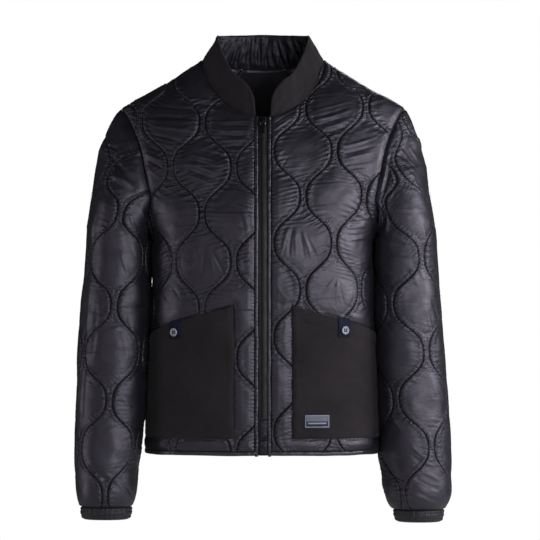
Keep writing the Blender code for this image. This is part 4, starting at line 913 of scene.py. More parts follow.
def cloth_material(name, dark, light, roughness, weave, weave_depth, crinkle=None, sheen=0.0,
                   specular=0.5, diagonal=False, worn=None, patch_size=28.0, stitched=False,
                   tint=(1, 1, 1)):
    """A cloth: mottled colour, uneven gloss, a weave of so many threads a metre, fine crinkles."""
    look = Look(bpy.data.materials.new(name))
    cloth = look.add("UVMap", {}, uv_map="cloth")
    mottle = look.ramp(look.noise(cloth, patch_size, 5.0), 0.32, 0.68)
    colour = look.mix(mottle, (*dark, 1), (*light, 1))
    if worn:
        flecks = look.ramp(look.noise(cloth, 900.0, 2.0), 0.50, 0.78, to_high=0.8)
        colour = look.mix(flecks, colour, (*worn, 1))

    turn = math.radians(63) if diagonal else 0
    threads = look.add("Mapping", {"Vector": cloth, "Rotation": (0, 0, turn)})
    heights = [look.add("TexWave", {"Vector": threads, "Scale": weave / 20, "Distortion": 0.6}, "Fac",
                        wave_type="BANDS", bands_direction=way) for way in ("X" if diagonal else "XY")]
    height = heights[0] if diagonal else look.work("ADD", *heights)
    normal = look.bump(height, weave_depth, 0.6)
    if crinkle:
        size, depth = crinkle
        stretched = look.add("Mapping", {"Vector": cloth, "Scale": (0.55, 1.0, 1.0)})
        ridges = look.noise(stretched, size, 4.0, Roughness=0.6, Distortion=0.8)
        normal = look.bump(ridges, depth, Normal=normal)
    if stitched:
        counted = look.add("UVMap", {}, uv_map="stitch")
        off_lines = [look.work("PINGPONG", look.add("SeparateXYZ", {0: counted}, axis), 0.5)
                     for axis in "XY"]
        nearest = look.work("MINIMUM", *off_lines)

        def beside(reach, low=0.0):
            """A ramp from a low value on the stitch lines to 1 at some distance from them."""
            return look.ramp(nearest, 0.0, reach / (2 * LINE_STEP), low,
                             interpolation_type="SMOOTHSTEP")

        # Stitch lines painted dark: the thread's own dark and painted shade in the groove
        colour = look.mix(beside(0.0009, 0.3), THREAD_AND_GROOVE_SHADE, colour)
        specular = look.work("MULTIPLY", beside(0.0010, 0.25), specular)
        across = look.add("Mapping", {"Vector": cloth, "Scale": (0.36, 1.1, 1.0)})
        crumple = look.noise(across, 230.0, 2.5, Roughness=0.55, Distortion=0.5)
        gathered = look.work("MULTIPLY", look.work("SUBTRACT", 1.0, beside(0.0130)), crumple)
        normal = look.bump(gathered, 0.0036, Normal=normal)
        normal = look.bump(beside(0.0021), 0.0015, Normal=normal)
    gloss = look.ramp(look.noise(cloth, 60.0), 0.3, 0.7, *roughness)
    return look.finish({"Base Color": colour, "Roughness": gloss, "Normal": normal,
                        "Sheen Weight": sheen, "Sheen Roughness": CLOTH_SHEEN,
                        "Specular IOR Level": specular, "Specular Tint": (*tint, 1)})


def hard_material(name, dark, light, roughness, metallic=0.0, scale=900.0, coat=0.0):
    """Enamelled metal, resin or thread: slight mottling and a fine uneven surface."""
    look = Look(bpy.data.materials.new(name))
    spots = look.noise(look.add("TexCoord", {}, "Object"), scale, 4.0)
    return look.finish({
        "Base Color": look.mix(spots, (*dark, 1), (*light, 1)),
        "Roughness": look.ramp(spots, to_low=roughness * 0.8, to_high=roughness * 1.25),
        "Normal": look.bump(spots, 0.00004, 0.5), "Metallic": metallic, "Coat Weight": coat})


COOL_TINT = (0.90, 0.87, 1.0)
NYLON_WEAVE = dict(weave=3600.0, weave_depth=0.00003)
NYLON_LOOK = dict(dark=(0.0065, 0.0061, 0.0092), light=(0.0115, 0.0108, 0.0155),
                  roughness=(0.43, 0.53), crinkle=(150.0, 0.0004), sheen=0.04, tint=COOL_TINT,
                  **NYLON_WEAVE)
NYLON = cloth_material("nylon", **NYLON_LOOK, specular=0.4)
QUILTED_NYLON = cloth_material("quilted_nylon", **NYLON_LOOK, specular=0.95, stitched=True)
CUFF_NYLON = cloth_material("cuff_nylon", (0.0110, 0.0105, 0.0140), (0.0180, 0.0170, 0.0220),
                            (0.45, 0.58), **NYLON_WEAVE, crinkle=(300.0, 0.0003), sheen=0.06)
BINDING_NYLON = cloth_material("binding_nylon", (0.0150, 0.0145, 0.0185), (0.0240, 0.0230, 0.0290),
                               (0.30, 0.40), **NYLON_WEAVE, crinkle=(500.0, 0.0002), sheen=0.08,
                               specular=0.9, tint=COOL_TINT)
TWILL = cloth_material("twill", (0.0170, 0.0145, 0.0158), (0.0250, 0.0215, 0.0235), (0.80, 0.94),
                       1500.0, 0.00012, crinkle=(120.0, 0.0004), sheen=0.12, specular=0.20,
                       diagonal=True, worn=(0.046, 0.040, 0.043), patch_size=14.0)
NAVY_TAPE = cloth_material("navy_tape", (0.0040, 0.0075, 0.0210), (0.0085, 0.0140, 0.0390),
                           (0.70, 0.85), 1600.0, 0.00012, sheen=0.05, specular=0.2)
LABEL = cloth_material("label_ground", (0.0120, 0.0190, 0.0480), (0.0240, 0.0340, 0.0760),
                       (0.65, 0.80), 2200.0, 0.00008, sheen=0.1, specular=0.3)
LABEL_PALE = cloth_material("label_pale", (0.270, 0.290, 0.350), (0.370, 0.390, 0.450),
                            (0.65, 0.80), 2200.0, 0.00010, sheen=0.1, specular=0.3)
ZIP_TAPE = cloth_material("zip_tape", (0.0060, 0.0074, 0.0086), (0.0105, 0.0128, 0.0142),
                          (0.45, 0.60), 1400.0, 0.00012, sheen=0.05, specular=0.5)
COIL = hard_material("coil", (0.0080, 0.0100, 0.0105), (0.0160, 0.0190, 0.0195), 0.36)
METAL = hard_material("black_metal", (0.0110, 0.0115, 0.0120), (0.0380, 0.0390, 0.0420), 0.24,
                      metallic=0.7, coat=0.5)
THREAD = hard_material("black_thread", (0.0040, 0.0040, 0.0052), (0.0110, 0.0108, 0.0135), 0.70,
                       scale=3000.0)
TWILL_THREAD = hard_material("twill_thread", (0.0110, 0.0095, 0.0105), (0.0270, 0.0235, 0.0255),
                             0.65, scale=3000.0)
BUTTON_RIM = hard_material("button_rim", (0.360, 0.390, 0.420), (0.460, 0.490, 0.520), 0.32,
                           scale=500.0)
BUTTON_FACE = hard_material("button_face", (0.300, 0.325, 0.355), (0.390, 0.415, 0.445), 0.38,
                            scale=500.0)


# ---------------------------------------------------------------- sewing
# A stitch from end to end: share of its length, depth into the cloth, whether it is full there
STITCH_RINGS = ((0.0, -0.00035, False), (0.25, 0.0, True), (0.75, 0.0, True), (1.0, -0.00035, False))


def stitches(path, pitch=0.0040, stitch=0.0030, radius=0.00028, lift=0.0001):
    """Single stitches along a path of (point, normal), each ten points from end to end."""
    points, normals = (np.array([tuple(p) for p in part]) for part in zip(*path))
    run = np.concatenate([[0], np.cumsum(np.linalg.norm(np.diff(points, axis=0), axis=1))])
    count = int(run[-1] / pitch)
    starts = (np.arange(count) + 0.5) * run[-1] / count - stitch / 2
    first, last = (read_columns(starts + along, run, points) for along in (0, stitch))
    ahead = unit(last - first)
    rings = []
    for share, depth, full in STITCH_RINGS:
        here = read_columns(starts + stitch * share, run, points)
        normal = unit(read_columns(starts + stitch * share, run, normals))
        side = unit(np.cross(ahead, normal))
        centre = here + normal * (lift + depth + radius * 0.6)
        turns = [k * math.pi / 2 for k in range(4)] if full else []
        rings += [centre + radius * (math.cos(a) * side + math.sin(a) * normal) for a in turns]
        if not full:
            rings.append(centre)
    return np.stack(rings, 1)


def sew(name, paths, parent, thread, **sizes):
    """One object for all the stitches along several paths."""
    made = np.concatenate([stitches(path, **sizes) for path in paths])
    base = 10 * np.arange(len(made))[:, None]
    ways = [(k, (k + 1) % 4) for k in range(4)]
    triangles = [base + ends for k, n in ways for ends in ((0, 1 + n, 1 + k), (9, 5 + k, 5 + n))]
    quads = [base + (1 + k, 1 + n, 5 + n, 5 + k) for k, n in ways]
    obj = new_mesh(name, made.reshape(-1, 3), [np.concatenate(triangles), np.concatenate(quads)])
    obj.data.materials.append(thread)
    obj.parent = parent
    return obj


def show(obj, node_name, material):
    """A piece that stands for a solid: it rides on the jacket, wears the given material, and the solid
    is hidden.
    """
    obj.data.materials.append(material)
    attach(obj, "jacket")
    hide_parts(node_name)


# ---------------------------------------------------------------- fronts and back
# Grid steps up the side seam and up the armhole, along half the neckline and along the shoulder
PANEL_STEPS = {FRONT: ((84, 48), (25, 29)), BACK: ((58, 34), (15, 21))}


def panel_edges(face, inner_edge):
    """Bottom, top, left and right edges of half a body piece, in even steps."""
    rows, cols = PANEL_STEPS[face]
    side = [(side_seam(face, v), v) for v in np.linspace(PANEL_HEM_Z, UNDERARM_Z, 60).tolist()]
    shoulder = [(u, shoulder_v(face, u)) for u in np.linspace(NECK_HALF, SHOULDER_HALF, 40).tolist()]
    armhole = [side[-1]] + smooth_line(armhole_line(face), 3)[1:-1] + [shoulder[-1]]
    neck = smooth_line(neck_line(face)[::-1], 4)
    neck = [(inner_edge, neck[0][1])] + neck[1:-1] + [shoulder[0]]
    bottom = [(inner_edge, PANEL_HEM_Z), side[0]]
    return (along([bottom], [sum(cols)]), along([neck, shoulder], cols),
            along([[bottom[0], neck[0]]], [sum(rows)]), along([side, armhole], rows))


def panel_ring(edges):
    """The closed outline of a piece from its four edges."""
    bottom, top, left, right = edges
    return pairs(np.concatenate([bottom[:-1], right[:-1], top[:0:-1], left[:0:-1]])[::2])


def pocket_edges():
    """Bottom, top, left and right edges of a patch pocket."""
    outer_high_v = pocket_top(side_seam(FRONT, -0.45) - POCKET_SIDE)
    heights = np.linspace(POCKET_HEM_Z, outer_high_v, 8).tolist()
    side = [(side_seam(FRONT, v) - POCKET_SIDE, v) for v in heights]
    low, high = (POCKET_INNER, POCKET_HEM_Z), (POCKET_INNER, POCKET_TOP)
    return (along([[low, side[0]]], [26]), along([[high, side[-1]]], [26]),
            along([[low, high]], [40]), along([side], [40]))


# Broad swells over seams and stitches alike: ends (u, v), bow, width, height
SWELLS = {
    "sleeve_right": [
        (0, -215, 0, -590, 0, 24, 4.0), (353, -215, 353, -590, 0, 24, 4.0),
        (0, -272, 0, -308, 0, 22, 3.5), (353, -272, 353, -308, 0, 22, 3.5),
        (176, -140, 176, -265, 0, 40, -4.2), (176, -350, 176, -520, 0, 40, 2.5),
    ],
    "sleeve_left": [
        (0, -205, 0, -650, 0, 24, 5.0), (353, -205, 353, -650, 0, 24, 5.0),
        (0, -600, 0, -690, 0, 24, 7.0), (353, -600, 353, -690, 0, 24, 7.0),
        (176, -112, 176, -138, 0, 22, 2.8), (176, -170, 176, -270, 0, 36, -3.5),
        (50, -230, 50, -640, 0, 26, 6.0),
    ],
}
# How far the padding fills the hollow along an armhole seam, on both sides of it
SEAM_FILL = {"front_right": 0.0065, "sleeve_right": 0.0065, "front_left": 0.0095,
             "sleeve_left": 0.0095, "back": 0.0065}
FILL_REACH = 0.020
FOLD_SCALE = 1.5
# Folds listed in millimetres: a row is a group of folds side by side, by turns ridge and
# trough. Columns: ends (u, v) of its first fold, ends of its last, folds, width, height
FOLD_GROUPS = {
    "front_left": [
        (70, -80, 145, -60, 90, -125, 135, -110, 7, 1.8, 0.8),
        (125, -30, 170, -22, 130, -48, 183, -56, 3, 1.8, 0.7),
        (150, -62, 200, -60, 155, -70, 190, -67, 2, 1.7, 0.6),
        (125, -140, 180, -123, 132, -180, 166, -177, 5, 2.0, 0.9),
        (145, -175, 183, -193, 140, -200, 170, -203, 3, 1.6, 0.6),
        (170, -90, 191, -87, 178, -118, 194, -117, 5, 1.5, 0.6),
        (150, -211, 171, -201, 154, -236, 173, -231, 4, 1.5, 0.5),
        (18, -91, 57, -62, 17, -109, 46, -87, 3, 1.7, 0.7),
        (15, -170, 33, -141, 20, -179, 41, -154, 2, 1.8, 0.6),
        (42, -265, 29, -314, 67, -278, 89, -324, 6, 2.1, 0.8),
        (116, -347, 90, -382, 122, -354, 131, -394, 4, 2.1, 0.6),
        (21, -357, 38, -384, 14, -384, 37, -392, 2, 2.0, 0.5),
        (127, -252, 170, -247, 138, -290, 177, -285, 5, 1.8, 0.7),
    ],
    "front_right": [
        (186, -91, 103, -92, 178, -106, 110, -111, 2, 2.8, -0.9),
        (188, -118, 115, -137, 186, -170, 164, -190, 6, 1.7, -0.9),
        (119, -150, 71, -162, 123, -184, 78, -202, 5, 1.7, 0.9),
        (100, -145, 52, -159, 88, -143, 52, -152, 2, 1.6, -0.7),
        (81, -94, 19, -94, 55, -143, 17, -145, 7, 1.7, 0.8),
        (139, -53, 65, -58, 128, -67, 64, -74, 3, 1.7, 0.8),
        (180, -53, 140, -38, 180, -71, 100, -76, 2, 2.8, 0.8),
        (42, -234, 28, -280, 26, -239, 19, -274, 3, 2.0, -0.6),
        (99, -296, 115, -340, 80, -306, 59, -347, 4, 2.3, 0.6),
        (212, -305, 167, -324, 219, -323, 163, -340, 2, 2.0, 0.5),
        (165, -209, 138, -203, 161, -216, 135, -210, 2, 1.6, 0.6),
        (39, -325, 17, -312, 39, -368, 17, -356, 4, 1.8, 0.6),
        (179, -359, 146, -394, 128, -360, 112, -385, 3, 2.1, 0.5),
    ],
    "sleeve_right": [
        (155, -136, 80, -192, 115, -184, 82, -200, 5, 4.0, -2.6),
        (143, -108, 109, -144, 141, -104, 101, -152, 2, 3.0, -1.2),
        (176, -140, 152, -120, 145, -128, 122, -140, 3, 1.8, 0.8),
        (146, -244, 161, -324, 131, -248, 134, -336, 2, 3.0, -0.9),
        (139, -324, 146, -432, 113, -384, 118, -480, 3, 3.0, -0.8),
        (76, -240, 58, -276, 83, -304, 65, -356, 3, 2.8, 0.9),
        (71, -384, 56, -448, 78, -432, 64, -488, 2, 2.7, -0.8),
        (145, -468, 146, -576, 131, -476, 132, -584, 2, 3.0, 0.8),
        (131, -644, 90, -676, 76, -664, 30, -700, 4, 2.6, 0.8),
        (108, -512, 85, -532, 74, -540, 53, -560, 2, 2.2, -0.6),
    ],
    "sleeve_left": [
        (111, -132, 60, -212, 118, -132, 65, -212, 2, 3.4, 2.3),
        (129, -120, 138, -144, 120, -144, 134, -160, 3, 1.9, 1.2),
        (109, -152, 111, -180, 95, -164, 94, -192, 2, 2.5, 1.8),
        (141, -128, 143, -160, 150, -128, 157, -156, 2, 1.9, -1.0),
        (122, -164, 132, -184, 101, -184, 109, -204, 3, 1.9, 1.0),
        (132, -148, 146, -172, 129, -176, 132, -212, 2, 1.9, -0.8),
        (58, -216, 19, -276, 67, -224, 56, -276, 3, 3.0, 2.3),
        (5, -280, 70, -300, 64, -276, 92, -296, 3, 2.3, 0.8),
        (113, -264, 125, -316, 102, -280, 115, -324, 2, 2.5, 0.8),
        (41, -324, 67, -348, 46, -356, 71, -372, 2, 2.3, 0.8),
        (94, -324, 113, -360, 88, -332, 104, -372, 2, 2.3, -0.7),
        (120, -384, 145, -432, 111, -400, 124, -452, 2, 2.8, -0.8),
        (46, -560, 67, -596, 60, -552, 78, -584, 2, 2.3, 0.8),
        (76, -616, 108, -644, 79, -668, 125, -688, 4, 2.5, 0.9),
        (46, -680, 78, -704, 88, -692, 131, -708, 2, 2.4, 0.9),
        (115, -512, 132, -560, 113, -592, 146, -628, 2, 2.5, 0.6),
    ],
    "back": [
        (-150, -95, -80, -88, -146, -143, -96, -136, 4, 2.1, 0.8),
        (148, -90, 70, -84, 142, -139, 98, -131, 4, 2.1, 0.8),
        (-188, -190, -130, -176, -180, -219, -140, -209, 3, 2.1, 0.9),
        (190, -186, 128, -170, 183, -216, 142, -203, 3, 2.1, 0.9),
        (-35, -58, 30, -60, -22, -86, 30, -88, 3, 2.1, 0.7),
        (-60, -250, -48, -300, -52, -248, -36, -306, 2, 2.3, 0.6),
        (66, -262, 52, -320, 74, -270, 64, -330, 2, 2.3, 0.6),
        (-120, -560, -96, -610, -108, -566, -88, -612, 2, 2.4, 0.7),
        (112, -556, 92, -612, 30, -580, 18, -618, 2, 2.3, 0.6),
        (-190, -420, -150, -436, -192, -440, -148, -452, 2, 2.3, 0.6),
        (192, -400, 150, -420, 190, -424, 152, -440, 2, 2.3, 0.6),
    ],
    "pocket_right": [
        (60, -430, 92, -560, 152, -470, 110, -590, 2, 6.0, 0.4),
        (40, -588, 120, -596, 40, -588, 120, -596, 1, 4.0, 0.4),
    ],
    "pocket_left": [
        (160, -440, 120, -550, 40, -450, 70, -570, 2, 6.0, 0.4),
        (80, -592, 170, -586, 80, -592, 170, -586, 1, 4.0, 0.4),
    ],
}


def lay_folds(rng, groups):
    """The single folds of some groups, uneven in place, length, bow, width and height."""
    folds = []
    for *ends, count, width, height in groups:
        first, last = np.array(ends[:4], float), np.array(ends[4:], float)
        for k in range(count):
            fold = first + (last - first) * k / max(count - 1, 1)
            middle = (fold[:2] + fold[2:]) / 2 + rng.uniform(-1.0, 1.0, 2)
            half = (fold[2:] - fold[:2]) / 2 * rng.uniform(0.85, 1.15)
            folds.append((*(middle - half), *(middle + half), rng.uniform(-1.0, 2.0),
                          width * rng.uniform(0.9, 1.1),
                          height * (-1) ** k * rng.uniform(0.8, 1.15)))
    return folds


rng = np.random.default_rng(5)
FOLDS = {name: lay_folds(rng, groups) for name, groups in FOLD_GROUPS.items()}
# The backs of the sleeves have the same kind of folds a little lower
for sleeve in ("sleeve_right", "sleeve_left"):
    FOLDS[sleeve] += [(353 - u0, v0 - 17, 353 - u1, v1 - 25, -bow, width, 0.8 * height)
                      for u0, v0, u1, v1, bow, width, height in FOLDS[sleeve]]


def plain_points(face, hand, cloth):
    """Points of the plain inner face for a grid of cloth points."""
    return np.array([[body_point(face, hand * u, v) for u, v in row] for row in cloth.tolist()])


def armhole_fill(face, cloth):
    """How much of the armhole's filling each cloth point of a front or the back takes."""
    line = np.array(armhole_line(face))
    run = run_of(line)
    share = np.linspace(0, 1, 160)
    spots = read_columns(share * run[-1], run, line)
    flat = np.stack([np.abs(cloth[..., 0]), cloth[..., 1]], -1).reshape(-1, 2)
    nearest = share[np.hypot(*(flat[:, None] - spots).transpose(2, 0, 1)).argmin(1)]
    away = line_distance(flat, line)
    return (np.sin(np.pi * nearest) * np.exp(-(away / FILL_REACH) ** 2)).reshape(cloth.shape[:2])


FOLD_FREE = 0.008                   # folds are full this far from a piece's edge
FOLD_HELD = (0.15, 0.006)           # their share left at a stitch line, full this far from it
STITCH_WIDTH = 0.0016
SMOOTH_SIDE = (0.65, 0.034)         # how far a sleeve's outside is smoothed, and how wide
SMOOTH_PUFF = 0.6 * SLEEVE_PUFF     # even height of its filling there
SEAM_TURN = 0.018                   # a sleeve's top turns into the body over this


def dress(name, coarse, cloth_coarse, outward, seam_normals=None):
    """Carry a relaxed piece onto its surface. Returns the outer grid and its cloth points.

    With seam_normals the piece is a sleeve, and its top edge turns into the front and back.
    """
    points, cloth = finer(coarse), finer(cloth_coarse)
    normal, along_u, along_v = grid_frame(points, cloth, outward)
    moved = fields[name].at(cloth)
    from_edge, from_stitch = moved[..., 3], moved[..., 4]
    rise = smooth_step(from_edge / EDGE_ROUND)
    wall = EDGE_WALL + (NYLON_WALL - EDGE_WALL) * rise
    relief = FOLD_SCALE * strokes(FOLDS[name], cloth) * smooth_step(from_edge / FOLD_FREE)
    relief *= FOLD_HELD[0] + (1 - FOLD_HELD[0]) * smooth_step(from_stitch / FOLD_HELD[1])
    relief += strokes(SWELLS.get(name, []), cloth)
    relief -= STITCH_DEEP * np.exp(-(from_stitch / STITCH_WIDTH) ** 2) * rise
    if seam_normals is None:
        fill = SEAM_FILL[name] * finer(armhole_fill(outward[1], cloth_coarse)[..., None])[..., 0]
        forward = outward
    else:
        below_seam = cloth[-1:, :, 1] - cloth[..., 1]
        turn = 2 * np.pi * cloth[..., 0] / SLEEVE_GIRTH
        height = np.where(np.sin(turn) > 0, SEAM_FILL[name], SEAM_FILL["back"])
        fill = height * np.sin(turn) * np.exp(-(below_seam / FILL_REACH) ** 2)
        # The outside of a sleeve is pulled smoother than the rest
        strength, width = SMOOTH_SIDE
        smooth = strength * np.exp(-((cloth[..., 0] - SLEEVE_GIRTH / 2) / width) ** 2)
        relief += smooth * smooth_step(from_edge / 0.014) * (SMOOTH_PUFF - moved[..., 2])
        forward = (0, FRONT, 0)
        seam_turn = np.exp(-(below_seam / SEAM_TURN) ** 2) * smooth_step(np.sin(turn / 2) / 0.6)
        normal = unit(normal + seam_turn[..., None] * (seam_normals[None] - normal))
    outer = points + along_u * moved[..., :1] + along_v * moved[..., 1:2]
    outer += np.array(forward) * fill[..., None] + normal * (wall + moved[..., 2] + relief)[..., None]
    if seam_normals is not None:
        outer[:, 0] = outer[:, -1] = (outer[:, 0] + outer[:, -1]) / 2
    return outer, cloth


POCKET_RING = panel_ring(pocket_edges())
panels, sleeves, tasks = {}, {}, []
for number, (hand, side) in enumerate(SIDES):
    edges = panel_edges(FRONT, PLACKET_HALF)
    tasks.append((f"front_{side}", panel_ring(edges), POCKET_RING, 0.00135, 11 + number))
    panels[f"front_{side}"] = (FRONT, hand, between(*edges))
edges = panel_edges(BACK, 0.0)
half = between(*edges)
ring = panel_ring(edges)
ring = [p for p in ring if p[0] > 1e-6] + [(-u, v) for u, v in reversed(ring) if u > 1e-6]
tasks.append(("back", ring, None, 0.0019, 21))
panels["back"] = (BACK, LEFT, np.concatenate([half[:, :0:-1] * (-1, 1), half], 1))

SLEEVE_COLS = 60
SLEEVE_ROWS = 88
for number, (hand, side) in enumerate(SIDES):
    foot = SLEEVE_SECTIONS[hand][-1][0]
    shares = np.linspace(0, 1, SLEEVE_COLS + 1)
    tops = np.array([SLEEVE_TOP_Z + cap_length(hand, s) - HALF_GAP for s in shares.tolist()])
    heights = foot + (tops - foot) * np.linspace(0, 1, SLEEVE_ROWS + 1)[:, None]
    cloth = np.stack(np.broadcast_arrays(shares * SLEEVE_GIRTH, heights), -1)
    sleeves[f"sleeve_{side}"] = (hand, cloth)
    tasks.append((f"sleeve_{side}", pairs(round_edge(cloth)), None, 0.0016, 31 + number))

with ThreadPoolExecutor(4) as pool:
    fields = dict(pool.map(quilt_field, tasks))
rings = {task[0]: task[1] for task in tasks}


def cloth_spot(face, hand, u, v, height):
    """Point and normal at a cloth point of a front or the back."""
    normal = body_normal(face, hand * u, v)
    return body_point(face, hand * u, v) + normal * height, normal


def surface(face, hand, cloth):
    """Points and normals of the body's plain surface at a grid of cloth points."""
    spots = [[cloth_spot(face, hand, u, v, 0.0) for u, v in row] for row in cloth.tolist()]
    return np.moveaxis(np.array(spots), 2, 0)


def sleeve_spot(hand, u, v, step=0.0015):
    """Point and normal of a sleeve's stitches at one of its cloth points."""
    here = sleeve_point(hand, u / SLEEVE_GIRTH, v)
    around = sleeve_point(hand, (u + step) / SLEEVE_GIRTH, v) - here
    up = here - sleeve_point(hand, u / SLEEVE_GIRTH, v - step)
    normal = around.cross(up).normalized()
    inner_x, outer_x, middle, _ = sleeve_section(hand, min(v, SLEEVE_TOP_Z))
    out = here - Vector((hand * (inner_x + outer_x) / 2, middle, here.z))
    normal = normal if normal.dot(out) >= 0 else -normal
    return here + normal * (NYLON_WALL - STITCH_DEEP), normal


def quilt_paths(name, place, avoid=None):
    """The stitch lines of a piece as paths in space, broken at its edges."""
    quilt, ring = QUILTS[name], rings[name]
    us, vs = zip(*ring)
    first = math.floor((min(us) - quilt[0]) / LINE_STEP) - 1
    last = math.ceil((max(us) - quilt[0]) / LINE_STEP) + 1
    heights = np.arange(min(vs) + 0.003, max(vs), 0.004)
    paths = []
    for index in range(first, last + 1):
        line = np.stack([quilt_line(quilt, index, heights), heights], 1)
        good = inside(line, ring) & (line_distance(line, ring + ring[:1]) > 0.003)
        if avoid:
            good &= ~inside(line, avoid) & (line_distance(line, avoid + avoid[:1]) > 0.002)
        for free, part in groupby(zip(good, line.tolist()), itemgetter(0)):
            if free:
                paths.append([place(*point) for _, point in part])
    return [path for path in paths if len(path) > 2]


def finish_quilted(name, obj, place, avoid=None):
    """Give a quilted piece its looks and its stitches. Returns the object of the stitches."""
    map_stitches(obj, QUILTS[name])
    show(obj, name, QUILTED_NYLON)
    return sew(name + "_thread", quilt_paths(name, place, avoid), obj, THREAD)


for name, (face, hand, cloth_coarse) in panels.items():
    coarse = plain_points(face, hand, cloth_coarse)
    outer, cloth = dress(name, coarse, cloth_coarse, (0, face, 0))
    obj = closed_sheet(name + "_cloth", outer, coarse, cloth, flip=(hand * face > 0))
    thread = finish_quilted(
        name, obj, lambda u, v: cloth_spot(face, hand, u, v, NYLON_WALL - STITCH_DEEP),
        POCKET_RING if face == FRONT else None)

for name, (hand, cloth_coarse) in sleeves.items():
    coarse = np.array([[sleeve_point(hand, u / SLEEVE_GIRTH, v) for u, v in row]
                       for row in cloth_coarse.tolist()])
    outward = unit(finer(coarse) - finer_axis(coarse.mean(axis=1, keepdims=True), 0))
    shares, _, normals = armhole_loop(hand)
    seam_normals = read_columns(finer(cloth_coarse)[0, :, 0] / SLEEVE_GIRTH, shares, normals)
    outer, cloth = dress(name, coarse, cloth_coarse, outward, seam_normals)
    obj = closed_sheet(name + "_cloth", outer[:, :-1], coarse[:, :-1], cloth[:, :-1], wrap=True,
                       flip=(hand == LEFT), girth=SLEEVE_GIRTH)
    thread = finish_quilted(name, obj, lambda u, v: sleeve_spot(hand, u, v))


# ---------------------------------------------------------------- grids that are read again
def on_grid(grid, s, t):
    """A value of a grid at shares of its width and height."""
    rows, cols = grid.shape[:2]
    x, y = min(max(s, 0), 1) * (cols - 1), min(max(t, 0), 1) * (rows - 1)
    i, j = min(int(x), cols - 2), min(int(y), rows - 2)
    x, y = x - i, y - j
    return ((1 - y) * ((1 - x) * grid[j, i] + x * grid[j, i + 1])
            + y * ((1 - x) * grid[j + 1, i] + x * grid[j + 1, i + 1]))


def groove(distance, middle, width=0.0009):
    """1 along a line at some distance from an edge, fading to 0 beside it."""
    return np.exp(-((distance - middle) / width) ** 2)


def grid_path(points, normals, line):
    """A path of (point, normal) over a grid, from a list of (s, t)."""
    return [(on_grid(points, s, t), on_grid(normals, s, t)) for s, t in line]


def span(a, b, count):
    return pairs(np.linspace(a, b, count))


# ---------------------------------------------------------------- pockets, tabs, buttons, label
TWILL_WALL = 0.0016
TWILL_EDGE = 0.0007
TWILL_STITCHES = dict(pitch=0.0030, stitch=0.0023, radius=0.00026)
POCKET_SEAT = 0.0023                # lining side of a pocket at its sewn edges
POCKET_REST = 0.0036                # and over the quilting inside them
POCKET_HEM = 0.019                  # turned-in hem of its opening
POCKET_SEWN = 0.0022                # its side seams run this far in from its edges
TOP_SEWN = 0.0024
POCKET_GAPE = 0.0014                # how far its opening stands off the front
TURNED_HIGH = 0.0005                # height of the cloth turned in, and depth of a seam in it
SEAM_DEEP = 0.00045


def pocket_heights(side, cloth, seed):
    """Inner and outer heights of a pocket over the body's plain surface."""
    u, v = np.moveaxis(cloth, -1, 0)
    rng = np.random.default_rng(seed)
    across = (u - POCKET_INNER) / (u[:, -1:] - POCKET_INNER)
    sewn = np.minimum(np.minimum(u - POCKET_INNER, u[:, -1:] - u), v - POCKET_HEM_Z)
    top = pocket_top(u) - v
    edge = np.minimum(sewn, top)
    inner = POCKET_SEAT + (POCKET_REST - POCKET_SEAT) * smooth_step(sewn / 0.009)
    inner += POCKET_GAPE * np.sin(np.pi * across) * np.exp(-top / 0.022)
    waves = 0.00050 * smooth_noise(rng, u.shape, 16) + 0.00022 * smooth_noise(rng, u.shape, 6)
    waves = waves * smooth_step(sewn / 0.012) + strokes(FOLDS[f"pocket_{side}"], cloth)
    wall = TWILL_EDGE + (TWILL_WALL - TWILL_EDGE) * smooth_step(edge / 0.0022)
    turned = np.maximum(1 - smooth_step((sewn - 0.007) / 0.002),
                        1 - smooth_step((top - POCKET_HEM) / 0.0015))
    seams = np.maximum(groove(sewn, POCKET_SEWN), groove(top, TOP_SEWN))
    seams = np.maximum(seams, groove(top, POCKET_HEM))
    beside = np.minimum(edge, np.abs(top - POCKET_HEM))
    gathered = smooth_noise(rng, u.shape, 3) * np.exp(-beside / 0.006)
    raised = TURNED_HIGH * turned - SEAM_DEEP * seams + 0.00025 * gathered
    return inner + np.maximum(waves, -0.0006), inner + wall + waves + raised


pocket_tops = {}
for number, (hand, side) in enumerate(SIDES):
    cloth_coarse = between(*pocket_edges())
    points, cloth = finer(plain_points(FRONT, hand, cloth_coarse)), finer(cloth_coarse)
    normal = grid_frame(points, cloth, (0, FRONT, 0))[0]
    low, high = pocket_heights(side, cloth, 51 + number)
    outer, inner = (points + normal * level[..., None] for level in (high, low))
    obj = closed_sheet(f"pocket_{side}_cloth", outer, coarser(inner), cloth, flip=(hand * FRONT > 0))
    show(obj, f"pocket_{side}", TWILL)
    width, height = np.ptp(cloth, axis=(0, 1)).tolist()
    high_left, high_right = (cloth[-1, [0, -1], 1] - cloth[0, 0, 1]).tolist()
    in_s, in_t = POCKET_SEWN / width, POCKET_SEWN / high_left
    corners = [(in_s, 1 - in_t), (in_s, in_t), (1 - in_s, in_t), (1 - in_s, 1 - in_t)]
    lines = [span(*part) for part in zip(corners, corners[1:], (60, 50, 60))]
    lines.append(span(corners[0], corners[3], 50))
    lines.append(span((in_s, 1 - POCKET_HEM / high_left), (1 - in_s, 1 - POCKET_HEM / high_right), 50))
    thread = sew(f"pocket_{side}_thread", [grid_path(outer, normal, line) for line in lines], obj,
                 TWILL_THREAD, **TWILL_STITCHES)
    pocket_tops[hand] = (cloth, high)


def pocket_height(hand, u, v):
    """Height of a pocket's outer face above the body's plain surface."""
    cloth, heights = pocket_tops[hand]
    t = (v - POCKET_HEM_Z) / (pocket_top(u) - POCKET_HEM_Z)
    right = on_grid(cloth[..., 0], 1.0, t)
    s = (u - POCKET_INNER) / (right - POCKET_INNER)
    return float(on_grid(heights, s, t))


